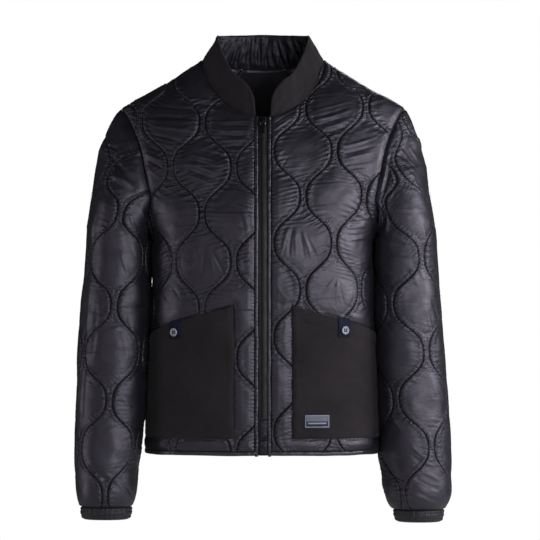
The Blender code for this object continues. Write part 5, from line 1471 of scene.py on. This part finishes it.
def patch_grid(left, right, foot, top, step, corner=0.0):
    """Fine grid of cloth points of a small upright patch with rounded lower corners."""
    cols, rows = (FINER * max(round(size / step / FINER), 2) for size in (right - left, top - foot))
    s, v = np.meshgrid(np.linspace(-1, 1, cols + 1), np.linspace(foot, top, rows + 1))
    below = np.clip(corner - (v - foot), 0, corner)
    narrow = corner - np.sqrt(np.maximum(corner ** 2 - below ** 2, 0))
    return np.stack([(left + right) / 2 + s * ((right - left) / 2 - narrow), v], -1)


def laid_patch(name, hand, cloth, wall, edge_wall, height, material, relief):
    """A small cloth over a pocket: height(u, v) is its underside above the body's surface."""
    points, normals = surface(FRONT, hand, cloth)
    low = np.array([[height(u, v) for u, v in row] for row in cloth.tolist()])
    u, v = np.moveaxis(cloth, -1, 0)
    edge = np.minimum(np.minimum(u - u[:, :1], u[:, -1:] - u), np.minimum(v - v[:1], v[-1:] - v))
    high = low + edge_wall + (wall - edge_wall) * smooth_step(edge / 0.0014) + relief(u, v, edge)
    outer, inner = (points + normals * level[..., None] for level in (high, low))
    obj = closed_sheet(name + "_cloth", outer, coarser(inner), cloth, flip=(hand * FRONT > 0))
    show(obj, name, material)
    return obj, outer, normals


def lathe(profile, segments):
    """Points and faces of a turned solid, from its back round to its face."""
    turn = np.arange(segments) * 2 * math.pi / segments
    rings = [np.stack([r * np.cos(turn), r * np.sin(turn), np.full(segments, z)], 1)
             for r, z in profile]
    return np.concatenate(rings), grid_faces(len(profile), segments, 0, wrap=True)


def strand(points, radius, sides=6):
    """A thread along a polyline, with pinched ends."""
    line = np.array(points)
    ahead = unit(np.gradient(line, axis=0))
    side = unit(np.cross(ahead, (0.3, 0.2, 1.0)))
    up = np.cross(side, ahead)
    turn = np.arange(sides)[None, :, None] * 2 * math.pi / sides
    sizes = np.full(len(line), radius)
    sizes[[0, -1]] *= 0.3
    rings = line[:, None] + sizes[:, None, None] * (np.cos(turn) * side[:, None]
                                                    + np.sin(turn) * up[:, None])
    return rings.reshape(-1, 3), grid_faces(len(line), sides, 0, wrap=True)


def joined(parts):
    """Several (points, faces) as one, with the faces counting on."""
    shifts = np.cumsum([0] + [len(points) for points, _ in parts])
    return (np.concatenate([points for points, _ in parts]),
            np.concatenate([faces + shift for (_, faces), shift in zip(parts, shifts)]))


BUTTON_OUTLINE = [(0.0050, 0.0000), (0.0057, 0.0001), (0.0062, 0.0005), (0.0065, 0.0010),
                  (0.0066, 0.0014), (0.0065, 0.0019), (0.0062, 0.0023), (0.0058, 0.00255),
                  (0.0054, 0.0025), (0.0050, 0.0021), (0.0047, 0.0018), (0.0044, 0.0017)]
BUTTON_SIDES = 48
BUTTON_RIM_PARTS = len(BUTTON_OUTLINE) - 3      # the rest of the outline is its face
FACE_RADIUS, FACE_Z = BUTTON_OUTLINE[-1]
HOLE_SPREAD = 0.00175
HOLE_RADIUS = 0.00125
HOLE_FOOT = 0.0001
HOLE_SIDES = 14
SHANK = [(0.0016, -0.0012), (0.0013, -0.0002), (0.0016, 0.0002)]


def button_face(rim, holes):
    """The flat middle of a button round its holes: points and triangles."""
    flat = [Vector(place) for place in rim[:, :2].tolist()]
    edges = [(k, (k + 1) % len(flat)) for k in range(len(flat))]
    for across, up in holes:
        start = len(flat)
        for k in range(HOLE_SIDES):
            turn = 2 * math.pi * k / HOLE_SIDES
            way = Vector((math.cos(turn), math.sin(turn)))
            flat.append(Vector((across, up)) + HOLE_RADIUS * way)
            edges.append((start + k, start + (k + 1) % HOLE_SIDES))
    places, _, faces, *_ = geometry.delaunay_2d_cdt(flat, edges, [], 0, 1e-7)
    kept = []
    for face in faces:
        middle = Vector(np.mean([places[i] for i in face], axis=0))
        clear = all((middle - Vector(hole)).length > HOLE_RADIUS * 0.96 for hole in holes)
        if middle.length < FACE_RADIUS and clear:
            kept.append(face)
    return np.array([(*place, FACE_Z) for place in places]), np.array(kept)


def make_button(side, hand, u, v, height):
    """A four-hole button sewn on with a square of dark thread."""
    name = f"pocket_button_{side}"
    place, normal = cloth_spot(FRONT, hand, u, v, height)
    right = Vector((0, 0, 1)).cross(normal).normalized()
    place, turned = np.array(place), np.array([right, normal.cross(right), normal])
    body, quads = lathe(BUTTON_OUTLINE, BUTTON_SIDES)
    holes = [(a, b) for a in (-HOLE_SPREAD, HOLE_SPREAD) for b in (-HOLE_SPREAD, HOLE_SPREAD)]
    disc, tris = button_face(body[-BUTTON_SIDES:], holes)
    well, walls = lathe([(HOLE_RADIUS, FACE_Z), (HOLE_RADIUS, HOLE_FOOT), (0.00005, HOLE_FOOT)],
                        HOLE_SIDES)
    wells, well_quads = joined([(well + (*hole, 0), walls[:, ::-1]) for hole in holes])
    points = np.concatenate([body, disc, wells])
    all_quads = np.concatenate([quads, well_quads + len(body) + len(disc)])
    obj = new_mesh(name + "_resin", points @ turned + place, [all_quads, tris + len(body)])
    for material in (BUTTON_RIM, BUTTON_FACE, THREAD):
        obj.data.materials.append(material)
    wears = np.ones(len(obj.data.polygons), np.int32)
    wears[:BUTTON_RIM_PARTS * BUTTON_SIDES] = 0
    wears[len(quads):len(all_quads)] = 2
    obj.data.polygons.foreach_set("material_index", wears)
    obj.data.set_sharp_from_angle(angle=math.radians(40))
    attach(obj, "jacket")
    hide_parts(name)

    parts = []
    way = np.linspace(-1, 1, 9)
    rise = 0.0009 + 0.0013 * np.cos(np.pi / 2 * way) ** 0.4
    for quarter_turns in range(4):
        for inward in (-0.00026, 0.00026):
            line = np.stack([way * HOLE_SPREAD, np.full(9, HOLE_SPREAD + inward), rise], 1)
            for _ in range(quarter_turns):
                line[:, :2] = line[:, 1::-1] * (1, -1)
            parts.append(strand(line @ turned + place, 0.00030))
    shank, walls = lathe(SHANK, 12)
    points, faces = joined(parts + [(shank @ turned + place, walls)])
    thread = new_mesh(name + "_thread", points, [faces])
    thread.data.materials.append(THREAD)
    thread.parent = obj


TAB_WALL = 0.0012
TAB_SEWN = 0.0020
TAB_LENGTH = TAB_BELOW + TAB_ABOVE
TAB_STITCHES = dict(pitch=0.0026, stitch=0.0019, radius=0.00022)


def tab_relief(u, v, edge):
    turned = 0.0003 * (1 - smooth_step((edge - 0.0045) / 0.001))
    return turned - 0.00030 * groove(edge, TAB_SEWN, 0.0006)


for hand, side in SIDES:
    middle = TAB_MIDDLE[hand]
    edge_v = pocket_top(middle)
    cloth = patch_grid(middle - TAB_WIDTH / 2, middle + TAB_WIDTH / 2, edge_v - TAB_BELOW,
                       edge_v + TAB_ABOVE, 0.0010, corner=0.004)

    def tab_under(u, v):
        near = pocket_height(hand, u, min(v, pocket_top(u) - 0.0015)) + 0.0003
        return max(near, 0.0058) - 0.0030 * float(smooth_step((v - pocket_top(u)) / 0.0040))

    obj, outer, normals = laid_patch(f"pocket_tab_{side}", hand, cloth, TAB_WALL, 0.0005, tab_under,
                                     NAVY_TAPE, tab_relief)
    in_s, in_t = 0.0021 / TAB_WIDTH, 0.0021 / TAB_LENGTH
    lines = [span((in_s, 0.88), (in_s, in_t * 1.6), 20), span((in_s, in_t), (1 - in_s, in_t), 16),
             span((1 - in_s, in_t * 1.6), (1 - in_s, 0.88), 20)]
    thread = sew(f"pocket_tab_{side}_thread", [grid_path(outer, normals, line) for line in lines],
                 obj, THREAD, **TAB_STITCHES)
    button_v = edge_v - BUTTON_DROP
    make_button(side, hand, middle, button_v, tab_under(middle, button_v) + TAB_WALL + 0.0004)

LABEL_WALL = 0.0007
LABEL_HEIGHT = LABEL_TOP - LABEL_FOOT
LABEL_STITCHES = dict(pitch=0.0022, stitch=0.0016, radius=0.00018)


def label_relief(u, v, edge):
    band = np.abs((v - LABEL_FOOT) / LABEL_HEIGHT - 0.5)
    return 0.00010 * smooth_step((band - 0.28) / 0.05) + 0.00008 * np.sin(u * 2 * math.pi / 0.0125)


cloth = patch_grid(*LABEL_EDGES, LABEL_FOOT, LABEL_TOP, 0.0008)
obj, outer, normals = laid_patch("pocket_label", LEFT, cloth, LABEL_WALL, 0.00035,
                                 lambda u, v: pocket_height(LEFT, u, v) + 0.0001,
                                 LABEL, label_relief)
obj.data.materials.append(LABEL_PALE)
rows, cols = cloth.shape[:2]
# A pale frame, a striped field above and a bar below, one row of faces at a time
row, col = np.divmod(np.arange((rows - 1) * (cols - 1)), cols - 1)
in_cols = np.minimum(col, cols - 2 - col)
inset = np.minimum(np.minimum(row, rows - 2 - row), in_cols)
striped, bar = (row > 13) & (row % 2 == 0), (row > 7) & (row < 11) & (in_cols > 6)
band = np.zeros(len(obj.data.polygons), np.int32)
band[:len(row)] = (inset == 1) | (inset == 2) | (inset > 3) & (striped | bar)
obj.data.polygons.foreach_set("material_index", band)
lines = [span((s, 0.03), (s, 0.97), 16) for s in (0.03, 0.97)]
thread = sew("pocket_label_thread", [grid_path(outer, normals, line) for line in lines], obj, THREAD,
             **LABEL_STITCHES)


# ---------------------------------------------------------------- cuffs
CUFF_WALL = 0.0022
CUFF_EDGE = 0.0007
CUFF_COLS = 312
CUFF_ROWS = 24
ELASTIC_ROWS = (0.30, 0.68)         # heights of the pinched rows, as shares of the cuff's


def waves_round(rng, turn, count, spread, parts=7):
    """Uneven waves that close round a ring: so many to a turn, give or take a spread."""
    total = np.zeros_like(turn)
    for _ in range(parts):
        number = int(round(count + rng.normal(0, spread)))
        total += rng.uniform(0.5, 1.0) * np.cos(number * turn + rng.uniform(0, 2 * math.pi))
    return total / np.abs(total).max()


for number, (hand, side) in enumerate(SIDES):
    rng = np.random.default_rng(71 + number)
    sections = CUFF_SECTIONS[hand]
    middle = SLEEVE_SECTIONS[hand][-1][3]
    heights = np.linspace(sections[0][0] + HALF_GAP, sections[-1][0], CUFF_ROWS + 1)
    turn = np.linspace(0, 2 * math.pi, CUFF_COLS, endpoint=False)
    big, small = waves_round(rng, turn, 34, 6), waves_round(rng, turn, 62, 9)
    outer, inner = np.empty((2, CUFF_ROWS + 1, CUFF_COLS, 3))
    for i, z in enumerate(heights.tolist()):
        low, high, half_depth = (smooth_table(sections, z, k) for k in (1, 2, 3))
        t = i / CUFF_ROWS
        drift = 0.35 * math.sin(3.1 * t + number)
        gather = (0.0006 + 0.0009 * (0.5 + 0.5 * np.roll(big, int(4 * drift))) ** 1.4
                  + 0.0004 * np.roll(small, int(-6 * drift)))
        pinch = 0.0007 * sum(groove(t, row, 0.05) for row in ELASTIC_ROWS) * (1 + 0.6 * big)
        bulge = 0.0010 * math.sin(math.pi * t) ** 0.6
        edge = smooth_step(min(t, 1 - t) / 0.10)
        reach = CUFF_EDGE + (CUFF_WALL - CUFF_EDGE + bulge + gather - pinch) * edge
        inner[i] = [(*ring_point(low, high, middle, half_depth, j / CUFF_COLS, hand), z)
                    for j in range(CUFF_COLS)]
        ahead = unit(np.roll(inner[i], -1, 0) - np.roll(inner[i], 1, 0))
        normal = np.stack([ahead[:, 1], -ahead[:, 0], np.zeros(CUFF_COLS)], 1)
        centre = (hand * (low + high) / 2, middle, z)
        normal *= np.sign((normal * (inner[i] - centre)).sum(1, keepdims=True))
        outer[i] = inner[i] + normal * reach[:, None]
    girth = float(np.linalg.norm(np.diff(inner[0], axis=0), axis=1).sum())
    cloth = np.stack(np.meshgrid(np.linspace(0, girth, CUFF_COLS, endpoint=False), heights), -1)
    obj = closed_sheet(f"cuff_{side}_cloth", outer, coarser(inner), cloth, wrap=True,
                       flip=(hand == RIGHT), girth=girth)
    show(obj, f"cuff_{side}", CUFF_NYLON)


# ---------------------------------------------------------------- collar
FACING_DEPTH = 0.0024
COLLAR_GAP = 0.0003
COLLAR_ROWS = 30
COLLAR_STEP = 0.0020
TOP_STITCH = 0.0060                 # the collar's stitches run this far in from its free edge
FOOT_STITCH = 0.0030                # and this far above its seam
NECK_DIP = (0.57, 0.10, 0.006)      # where it is lower beside the neck: share, width, depth
CORNER_STEPS = 21
HALF_SEAM = neck_seam(LEFT)[2]
straight_steps = FINER * round((HALF_SEAM - COLLAR_CORNER) / COLLAR_STEP / FINER)
corner_turn = np.linspace(0, math.pi / 2, CORNER_STEPS + 1)
half_runs = np.concatenate([COLLAR_CORNER * (1 - np.cos(corner_turn)),
                            np.linspace(COLLAR_CORNER, HALF_SEAM, straight_steps + 1)[1:]]).tolist()
collar_columns = [(RIGHT, run) for run in half_runs] + [(LEFT, run) for run in half_runs[-2::-1]]


def collar_height(run, inset=0.0):
    """Height of a line a little in from the collar's free edge, round its corners."""
    share, reach = run / HALF_SEAM, COLLAR_CORNER - inset
    into_corner = max(COLLAR_CORNER - run, 0.0)
    drop = reach - math.sqrt(max(reach ** 2 - into_corner ** 2, 0.0))
    middle, width, depth = NECK_DIP
    dip = depth * math.exp(-((share - middle) / width) ** 2)
    return smooth_table(COLLAR_HEIGHTS, share, 1) - dip - inset - drop


collar_frames = [collar_frame(hand, run / HALF_SEAM) for hand, run in collar_columns]
collar_base, collar_up, collar_out = np.moveaxis(np.array(collar_frames), 1, 0)
collar_full = np.array([collar_height(run) for _, run in collar_columns])
levels = np.linspace(0, 1, COLLAR_ROWS + 1)[:, None]
collar_high = COLLAR_GAP + levels * (collar_full - COLLAR_GAP)
collar_plain = collar_base + collar_up * collar_high[..., None]
collar_run = np.array([run if hand == RIGHT else 2 * HALF_SEAM - run for hand, run in collar_columns])
collar_cloth = np.stack(np.broadcast_arrays(collar_run, collar_high), -1)
free_edge = pairs(np.concatenate([collar_cloth[1:, 0], collar_cloth[-1], collar_cloth[:0:-1, -1]]))
collar_free = line_distance(collar_cloth.reshape(-1, 2), free_edge).reshape(collar_high.shape)
collar_normals = np.broadcast_to(collar_out, collar_plain.shape)
from_seam = collar_high - COLLAR_GAP
edge = np.minimum(collar_free, from_seam + 0.0006)
from_all = np.minimum(collar_free, from_seam)


def collar_noise(rng, size):
    return smooth_noise(rng, collar_high.shape, size)


rng = np.random.default_rng(81)
high = TWILL_EDGE + (TWILL_WALL - TWILL_EDGE) * smooth_step(edge / 0.0026)
high += 0.0004 * (1 - smooth_step((collar_free - 0.0075) / 0.002))
high -= 0.0004 * groove(collar_free, TOP_STITCH) + 0.0003 * groove(from_seam, FOOT_STITCH)
high += smooth_step(from_all / 0.010) * (0.0007 * collar_noise(rng, 11) + 0.0002 * collar_noise(rng, 4))
outer = collar_plain + collar_normals * np.maximum(high, 0.0004)[..., None]
obj = closed_sheet("collar_cloth", outer, coarser(collar_plain), collar_cloth)
show(obj, "collar", TWILL)
across = np.linspace(0, 1, len(collar_columns)).tolist()
columns = list(zip(across, [run for _, run in collar_columns], collar_full.tolist()))
top = [(s, collar_height(run, TOP_STITCH) / full) for s, run, full in columns if run >= TOP_STITCH]
first, last = (span((end[0], 0.06), end, 10) for end in (top[0], top[-1]))
foot = [(s, FOOT_STITCH / full) for s, run, full in columns if run > TOP_STITCH]
lines = [first[:-1] + top + last[::-1][1:], foot]
thread = sew("collar_thread", [grid_path(outer, collar_normals, line) for line in lines], obj,
             TWILL_THREAD, **TWILL_STITCHES)

rng = np.random.default_rng(82)
deep = COLLAR_GAP + 0.0006 + (FACING_DEPTH - 0.0009) * smooth_step(edge / 0.003)
creases = collar_noise(rng, 3) * 0.5 + collar_noise(rng, 6)
upright = smooth_noise(rng, (9, len(collar_columns)), 2.2)
upright = read_columns(np.linspace(0, 7.999, COLLAR_ROWS + 1), np.arange(9), upright)
deep += smooth_step(from_all / 0.012) * (0.0014 + 0.0006 * creases + 0.0011 * upright)
deep -= 0.0008 * groove(collar_free, TOP_STITCH, 0.0014)
outer = collar_plain - collar_normals * np.maximum(deep, COLLAR_GAP + 0.0005)[..., None]
inner = collar_plain - collar_normals * COLLAR_GAP
obj = closed_sheet("collar_facing_cloth", outer, coarser(inner), collar_cloth, flip=True)
show(obj, "collar_facing", NYLON)


# ---------------------------------------------------------------- bindings
RING_SIDES = 18
BINDING_HIGH = 0.0038
BINDING_THREAD = 0.0030             # height of the stitches on a binding
BINDING_PITCH = 0.0032
RIPPLE = 0.0062                     # length of a front binding's ripples


def tube(name, rings, cloth, flip=False):
    """A closed solid through rings of points, capped at both ends."""
    count, sides = rings.shape[:2]
    numbers = numbered(count, sides)
    caps = [np.stack([np.full(sides, count * sides), np.roll(numbers[0], -1), numbers[0]], 1),
            np.stack([np.full(sides, count * sides + 1), numbers[-1], np.roll(numbers[-1], -1)], 1)]
    caps = np.concatenate(caps)[:, ::-1 if flip else 1]
    points, uv = (np.concatenate([table.reshape(count * sides, -1), table[[0, -1]].mean(1)])
                  for table in (rings, cloth))
    return new_mesh(name, points, [grid_faces(count, sides, 0, wrap=True, flip=flip), caps], uv)


def round_section(width, height=BINDING_HIGH, power=2.7):
    """A rounded section standing on the cloth: across and off it, so many points round."""
    turn = np.arange(RING_SIDES) * 2 * math.pi / RING_SIDES
    radius = (np.abs(np.cos(turn) / (width / 2)) ** power
              + np.abs(np.sin(turn) / (height / 2)) ** power) ** (-1 / power)
    return radius * np.cos(turn), height / 2 + radius * np.sin(turn), turn


def long_noise(rng, count, size):
    return smooth_noise(rng, (count, 3), size)[:, 1:2]


PLACKET_TOP = body_v(FRONT, PLACKET_HALF, ZIP_TOP) - 2 * HALF_GAP
BINDING_OUTER = PLACKET_HALF + 0.0005
BINDING_LENGTH = float(PLACKET_TOP - HEM_Z)
for number, (hand, side) in enumerate(SIDES):
    rng = np.random.default_rng(91 + number)
    count = round(BINDING_LENGTH / 0.0017)
    v = np.linspace(HEM_Z, PLACKET_TOP, count)[:, None]
    across, off, turn = round_section(BINDING_OUTER - BINDING_INNER)
    fat = 1 + 0.05 * long_noise(rng, count, 5) + 0.05 * long_noise(rng, count, 2)
    u = (BINDING_INNER + BINDING_OUTER) / 2 + across + 0.00022 * long_noise(rng, count, 14)
    ripple = 1 + 0.05 * np.sin(2 * math.pi * v / RIPPLE + turn + rng.uniform(0, 2 * math.pi))
    points, normals = surface(FRONT, hand, np.stack(np.broadcast_arrays(u, v), -1))
    points = points + normals * (off * fat * np.where(off > BINDING_HIGH / 2, ripple, 1))[..., None]
    cloth = np.stack(np.broadcast_arrays(turn * 0.0022, v), -1)
    obj = tube(f"front_binding_{side}_cloth", points, cloth, flip=(hand == LEFT))
    show(obj, f"front_binding_{side}", BINDING_NYLON)
    path = [cloth_spot(FRONT, hand, BINDING_OUTER - 0.0006, at, BINDING_THREAD)
            for at in v[2:-2, 0].tolist()]
    thread = sew(f"front_binding_{side}_thread", [path], obj, THREAD, pitch=BINDING_PITCH)

HEM_TOP = PANEL_HEM_Z + 0.0012
HEM_FOOT = HEM_Z + 0.0008
FRONT_SIDE, BACK_SIDE = side_seam(FRONT, PANEL_HEM_Z), side_seam(BACK, PANEL_HEM_Z)
for number, (side, face, start, end, rests_on) in enumerate((
        ("right", FRONT, -FRONT_SIDE, -PLACKET_HALF, "front_right_cloth"),
        ("left", FRONT, PLACKET_HALF, FRONT_SIDE, "front_left_cloth"),
        ("back", BACK, -BACK_SIDE, BACK_SIDE, "back_cloth"))):
    rng = np.random.default_rng(95 + number)
    length = float(end - start)
    count = round(length / 0.0019)
    u = np.linspace(start, end, count)[:, None]
    up, off, turn = round_section(HEM_TOP - HEM_FOOT)
    fat = 1 + 0.06 * long_noise(rng, count, 4) + 0.05 * long_noise(rng, count, 2)
    v = (HEM_TOP + HEM_FOOT) / 2 + up + 0.00025 * long_noise(rng, count, 12)
    points, normals = surface(face, 1, np.stack(np.broadcast_arrays(u, v), -1))
    cloth = np.stack(np.broadcast_arrays(u, turn * 0.0028), -1)
    obj = tube(f"hem_binding_{side}_cloth", points + normals * (off * fat)[..., None], cloth,
               flip=(face == BACK))
    show(obj, f"hem_binding_{side}", BINDING_NYLON)
    path = []
    for at in u[2:-2, 0].tolist():
        normal = body_normal(face, at, HEM_TOP)
        path.append((body_point(face, at, HEM_TOP - 0.0008) + normal * 0.0031, normal))
    thread = sew(f"hem_binding_{side}_thread", [path], obj, THREAD, pitch=BINDING_PITCH)

# Placket foot: the quilted cloth under the zip's end, height and thickness
FOOT_ROWS = [(-0.6315, 0.0022), (-0.6190, 0.0036), (-0.6070, 0.0026), (FOOT_SEAM_Z, 0.0012),
             (-0.6030, 0.0026), (-0.5902, 0.0038), (-0.5756, 0.0022)]
TAPE_OUTER = BINDING_INNER - 2 * HALF_GAP
FOOT_HALF = TAPE_OUTER + 0.0012     # its sides are tucked under the bindings
across = np.linspace(-FOOT_HALF, FOOT_HALF, 13)
heights = np.linspace(FOOT_ROWS[0][0], FOOT_ROWS[-1][0], 61)
thick = np.array([smooth_table(FOOT_ROWS, v, 1) for v in heights.tolist()])[:, None]
thick = thick * (1 - 0.45 * (np.abs(across) / TAPE_OUTER) ** 2.4)
thick *= 1 + 0.09 * smooth_noise(np.random.default_rng(99), (61, 13), 2)
cloth = np.stack(np.meshgrid(across, heights), -1)
inner, normals = surface(FRONT, 1, cloth)
obj = closed_sheet("placket_foot_cloth", inner + normals * thick[..., None], coarser(inner), cloth)
show(obj, "placket_foot", NYLON)
path = [cloth_spot(FRONT, 1, u, FOOT_SEAM_Z, 0.0013) for u in np.linspace(-0.0066, 0.0066, 9).tolist()]
thread = sew("placket_foot_thread", [path], obj, THREAD)


# ---------------------------------------------------------------- zip
TAPE_HIGH = 0.0008
TAPE_ROOF = 0.0014
for number, (hand, side) in enumerate(SIDES):
    across = np.linspace(HALF_GAP, TAPE_OUTER, 10)
    heights = np.linspace(ZIP_END, PLACKET_TOP, 241)
    high = 0.00012 * smooth_noise(np.random.default_rng(61 + number), (241, 10), 4)
    high += TAPE_HIGH + TAPE_ROOF * (1 - across / TAPE_OUTER)
    cloth = np.stack(np.meshgrid(across, heights), -1)
    inner, normals = surface(FRONT, hand, cloth)
    obj = closed_sheet(f"zip_tape_{side}_cloth", inner + normals * high[..., None], coarser(inner),
                       cloth, flip=(hand == RIGHT))
    show(obj, f"zip_tape_{side}", ZIP_TAPE)
    paths = [[cloth_spot(FRONT, hand, u, v, TAPE_HIGH) for v in heights[::4].tolist()]
             for u in (0.0036, 0.0062)]
    thread = sew(f"zip_tape_{side}_thread", paths, obj, THREAD, pitch=0.0034, radius=0.0002)

CHAIN_HALF = 0.0029
CORE_FACES = ((0.0017, False), (0.0013, True))  # height of its core's face and of its back
TOOTH_PITCH = 0.0015
TOOTH_HALF = np.array([0.00046, 0.00062])       # along the chain and off the cloth
TOOTH_SIDES = 4
# A tooth from its root on the tape to its head over the centre line: across, width, height, level
TOOTH = [(0.00290, 0.30, 0.30, 0.0016), (0.00240, 1.00, 0.85, 0.0022), (0.00060, 1.05, 1.00, 0.0025),
         (-0.00030, 1.20, 1.00, 0.0024), (-0.00062, 0.25, 0.25, 0.0020)]
chain_top = body_v(FRONT, 0, CHAIN_TOP)
count = int((chain_top - ZIP_END - 0.002) / TOOTH_PITCH)
spine = np.linspace(ZIP_END + 0.001, chain_top, 260)
spine_place, spine_out = surface(FRONT, 1, np.stack([np.zeros(260), spine], 1)[None])[:, 0]
turn = np.arange(TOOTH_SIDES) * 2 * math.pi / TOOTH_SIDES
parts = []
for hand in (RIGHT, LEFT):
    for k in range(count):
        v = ZIP_END + 0.0018 + (k + (0.5 if hand == LEFT else 0)) * TOOTH_PITCH
        place, out = (read_columns(v, spine, table) for table in (spine_place, spine_out))
        up = unit(np.cross(out, (-1.0, 0, 0)))
        rings = []
        for across, wide, thick, level in TOOTH:
            ring = np.stack([np.cos(turn) * wide, np.sin(turn) * thick], 1) * TOOTH_HALF
            rings.append(place + (hand * across, 0, 0) + out * level + ring @ [up, out])
        parts.append((np.concatenate(rings),
                      grid_faces(len(TOOTH), TOOTH_SIDES, 0, wrap=True, flip=(hand == LEFT))))
core = np.linspace(-CHAIN_HALF, CHAIN_HALF, 5)[:, None] * (1.0, 0, 0) + spine_place[:, None]
for level, flip in CORE_FACES:
    parts.append(((core + spine_out[:, None] * level).reshape(-1, 3),
                  grid_faces(len(spine), 5, 0, flip=flip)))
points, faces = joined(parts)
show(new_mesh("zip_chain_teeth", points, [faces]), "zip_chain", COIL)

for name in ("zip_slider", "zip_pull_tab"):
    frame["nodes"][name].data.materials.clear()
    frame["nodes"][name].data.materials.append(METAL)


# ---------------------------------------------------------------- studio
LIGHT_COLOUR = (0.97, 0.94, 1.0)
JACKET_MIDDLE = Vector((0.0, 0.0, -0.36))
# Softboxes aimed at the jacket: degrees round from the front and up, distance, size, watts
SOFTBOXES = {
    "key": (25, 4, 3.3, 1.6, 0.9, 31.0),
    "key_side": (72, 14, 2.3, 1.5, 0.9, 33.0),
    "fill": (-26, 8, 3.4, 1.3, 1.0, 6.0),
    "fill_side": (-84, 0, 3.0, 0.8, 1.6, 12.0),
    "back": (168, 30, 3.2, 1.4, 1.0, 22.0),
}


def stand(name, data):
    obj = bpy.data.objects.new(name, data)
    bpy.context.scene.collection.objects.link(obj)
    return obj


for name, (turn, rise, distance, width, height, watts) in SOFTBOXES.items():
    light = bpy.data.lights.new(name, "AREA")
    light.shape = "RECTANGLE"
    light.size, light.size_y = width, height
    light.energy = watts
    light.color = LIGHT_COLOUR
    turn, rise = math.radians(turn), math.radians(rise)
    way = Vector((math.sin(turn) * math.cos(rise), -math.cos(turn) * math.cos(rise), math.sin(rise)))
    obj = stand(name, light)
    obj.location = JACKET_MIDDLE + way * distance
    obj.rotation_euler = (-way).to_track_quat("-Z", "Y").to_euler()

FLOOR_HALF = 2.5
FLOOR_Z = -1.1
floor_mesh = bpy.data.meshes.new("floor")
floor_mesh.from_pydata([(x * FLOOR_HALF, y * FLOOR_HALF, FLOOR_Z) for x, y in
                        ((-1, -1), (1, -1), (1, 1), (-1, 1))], [], [(0, 1, 2, 3)])
floor_mesh.materials.append(hard_material("floor_paint", (0.72, 0.72, 0.71), (0.80, 0.80, 0.79), 0.8,
                                          scale=6.0))
stand("floor", floor_mesh)

sky = Look(bpy.data.worlds.new("studio"))
sky.tree.nodes.clear()
soft_light = sky.add("Background", {"Color": (0.97, 0.96, 1, 1), "Strength": 0.015})
white = sky.add("Background", {"Color": (1, 1, 1, 1), "Strength": 1.0})
mixed = sky.add("MixShader", {0: sky.add("LightPath", {}, "Is Camera Ray"), 1: soft_light, 2: white})
sky.fill(sky.tree.nodes.new("ShaderNodeOutputWorld"), {"Surface": mixed})
bpy.context.scene.world = sky.owner
bpy.context.scene.view_settings.view_transform = "Standard"

camera = bpy.data.cameras.new("camera")
camera.sensor_width = 36
camera.lens = 246.9
eye = stand("camera", camera)
eye.location = (0.0113, -6.0, -0.337)
eye.rotation_euler = (math.radians(90), 0, 0)
bpy.context.scene.camera = eye
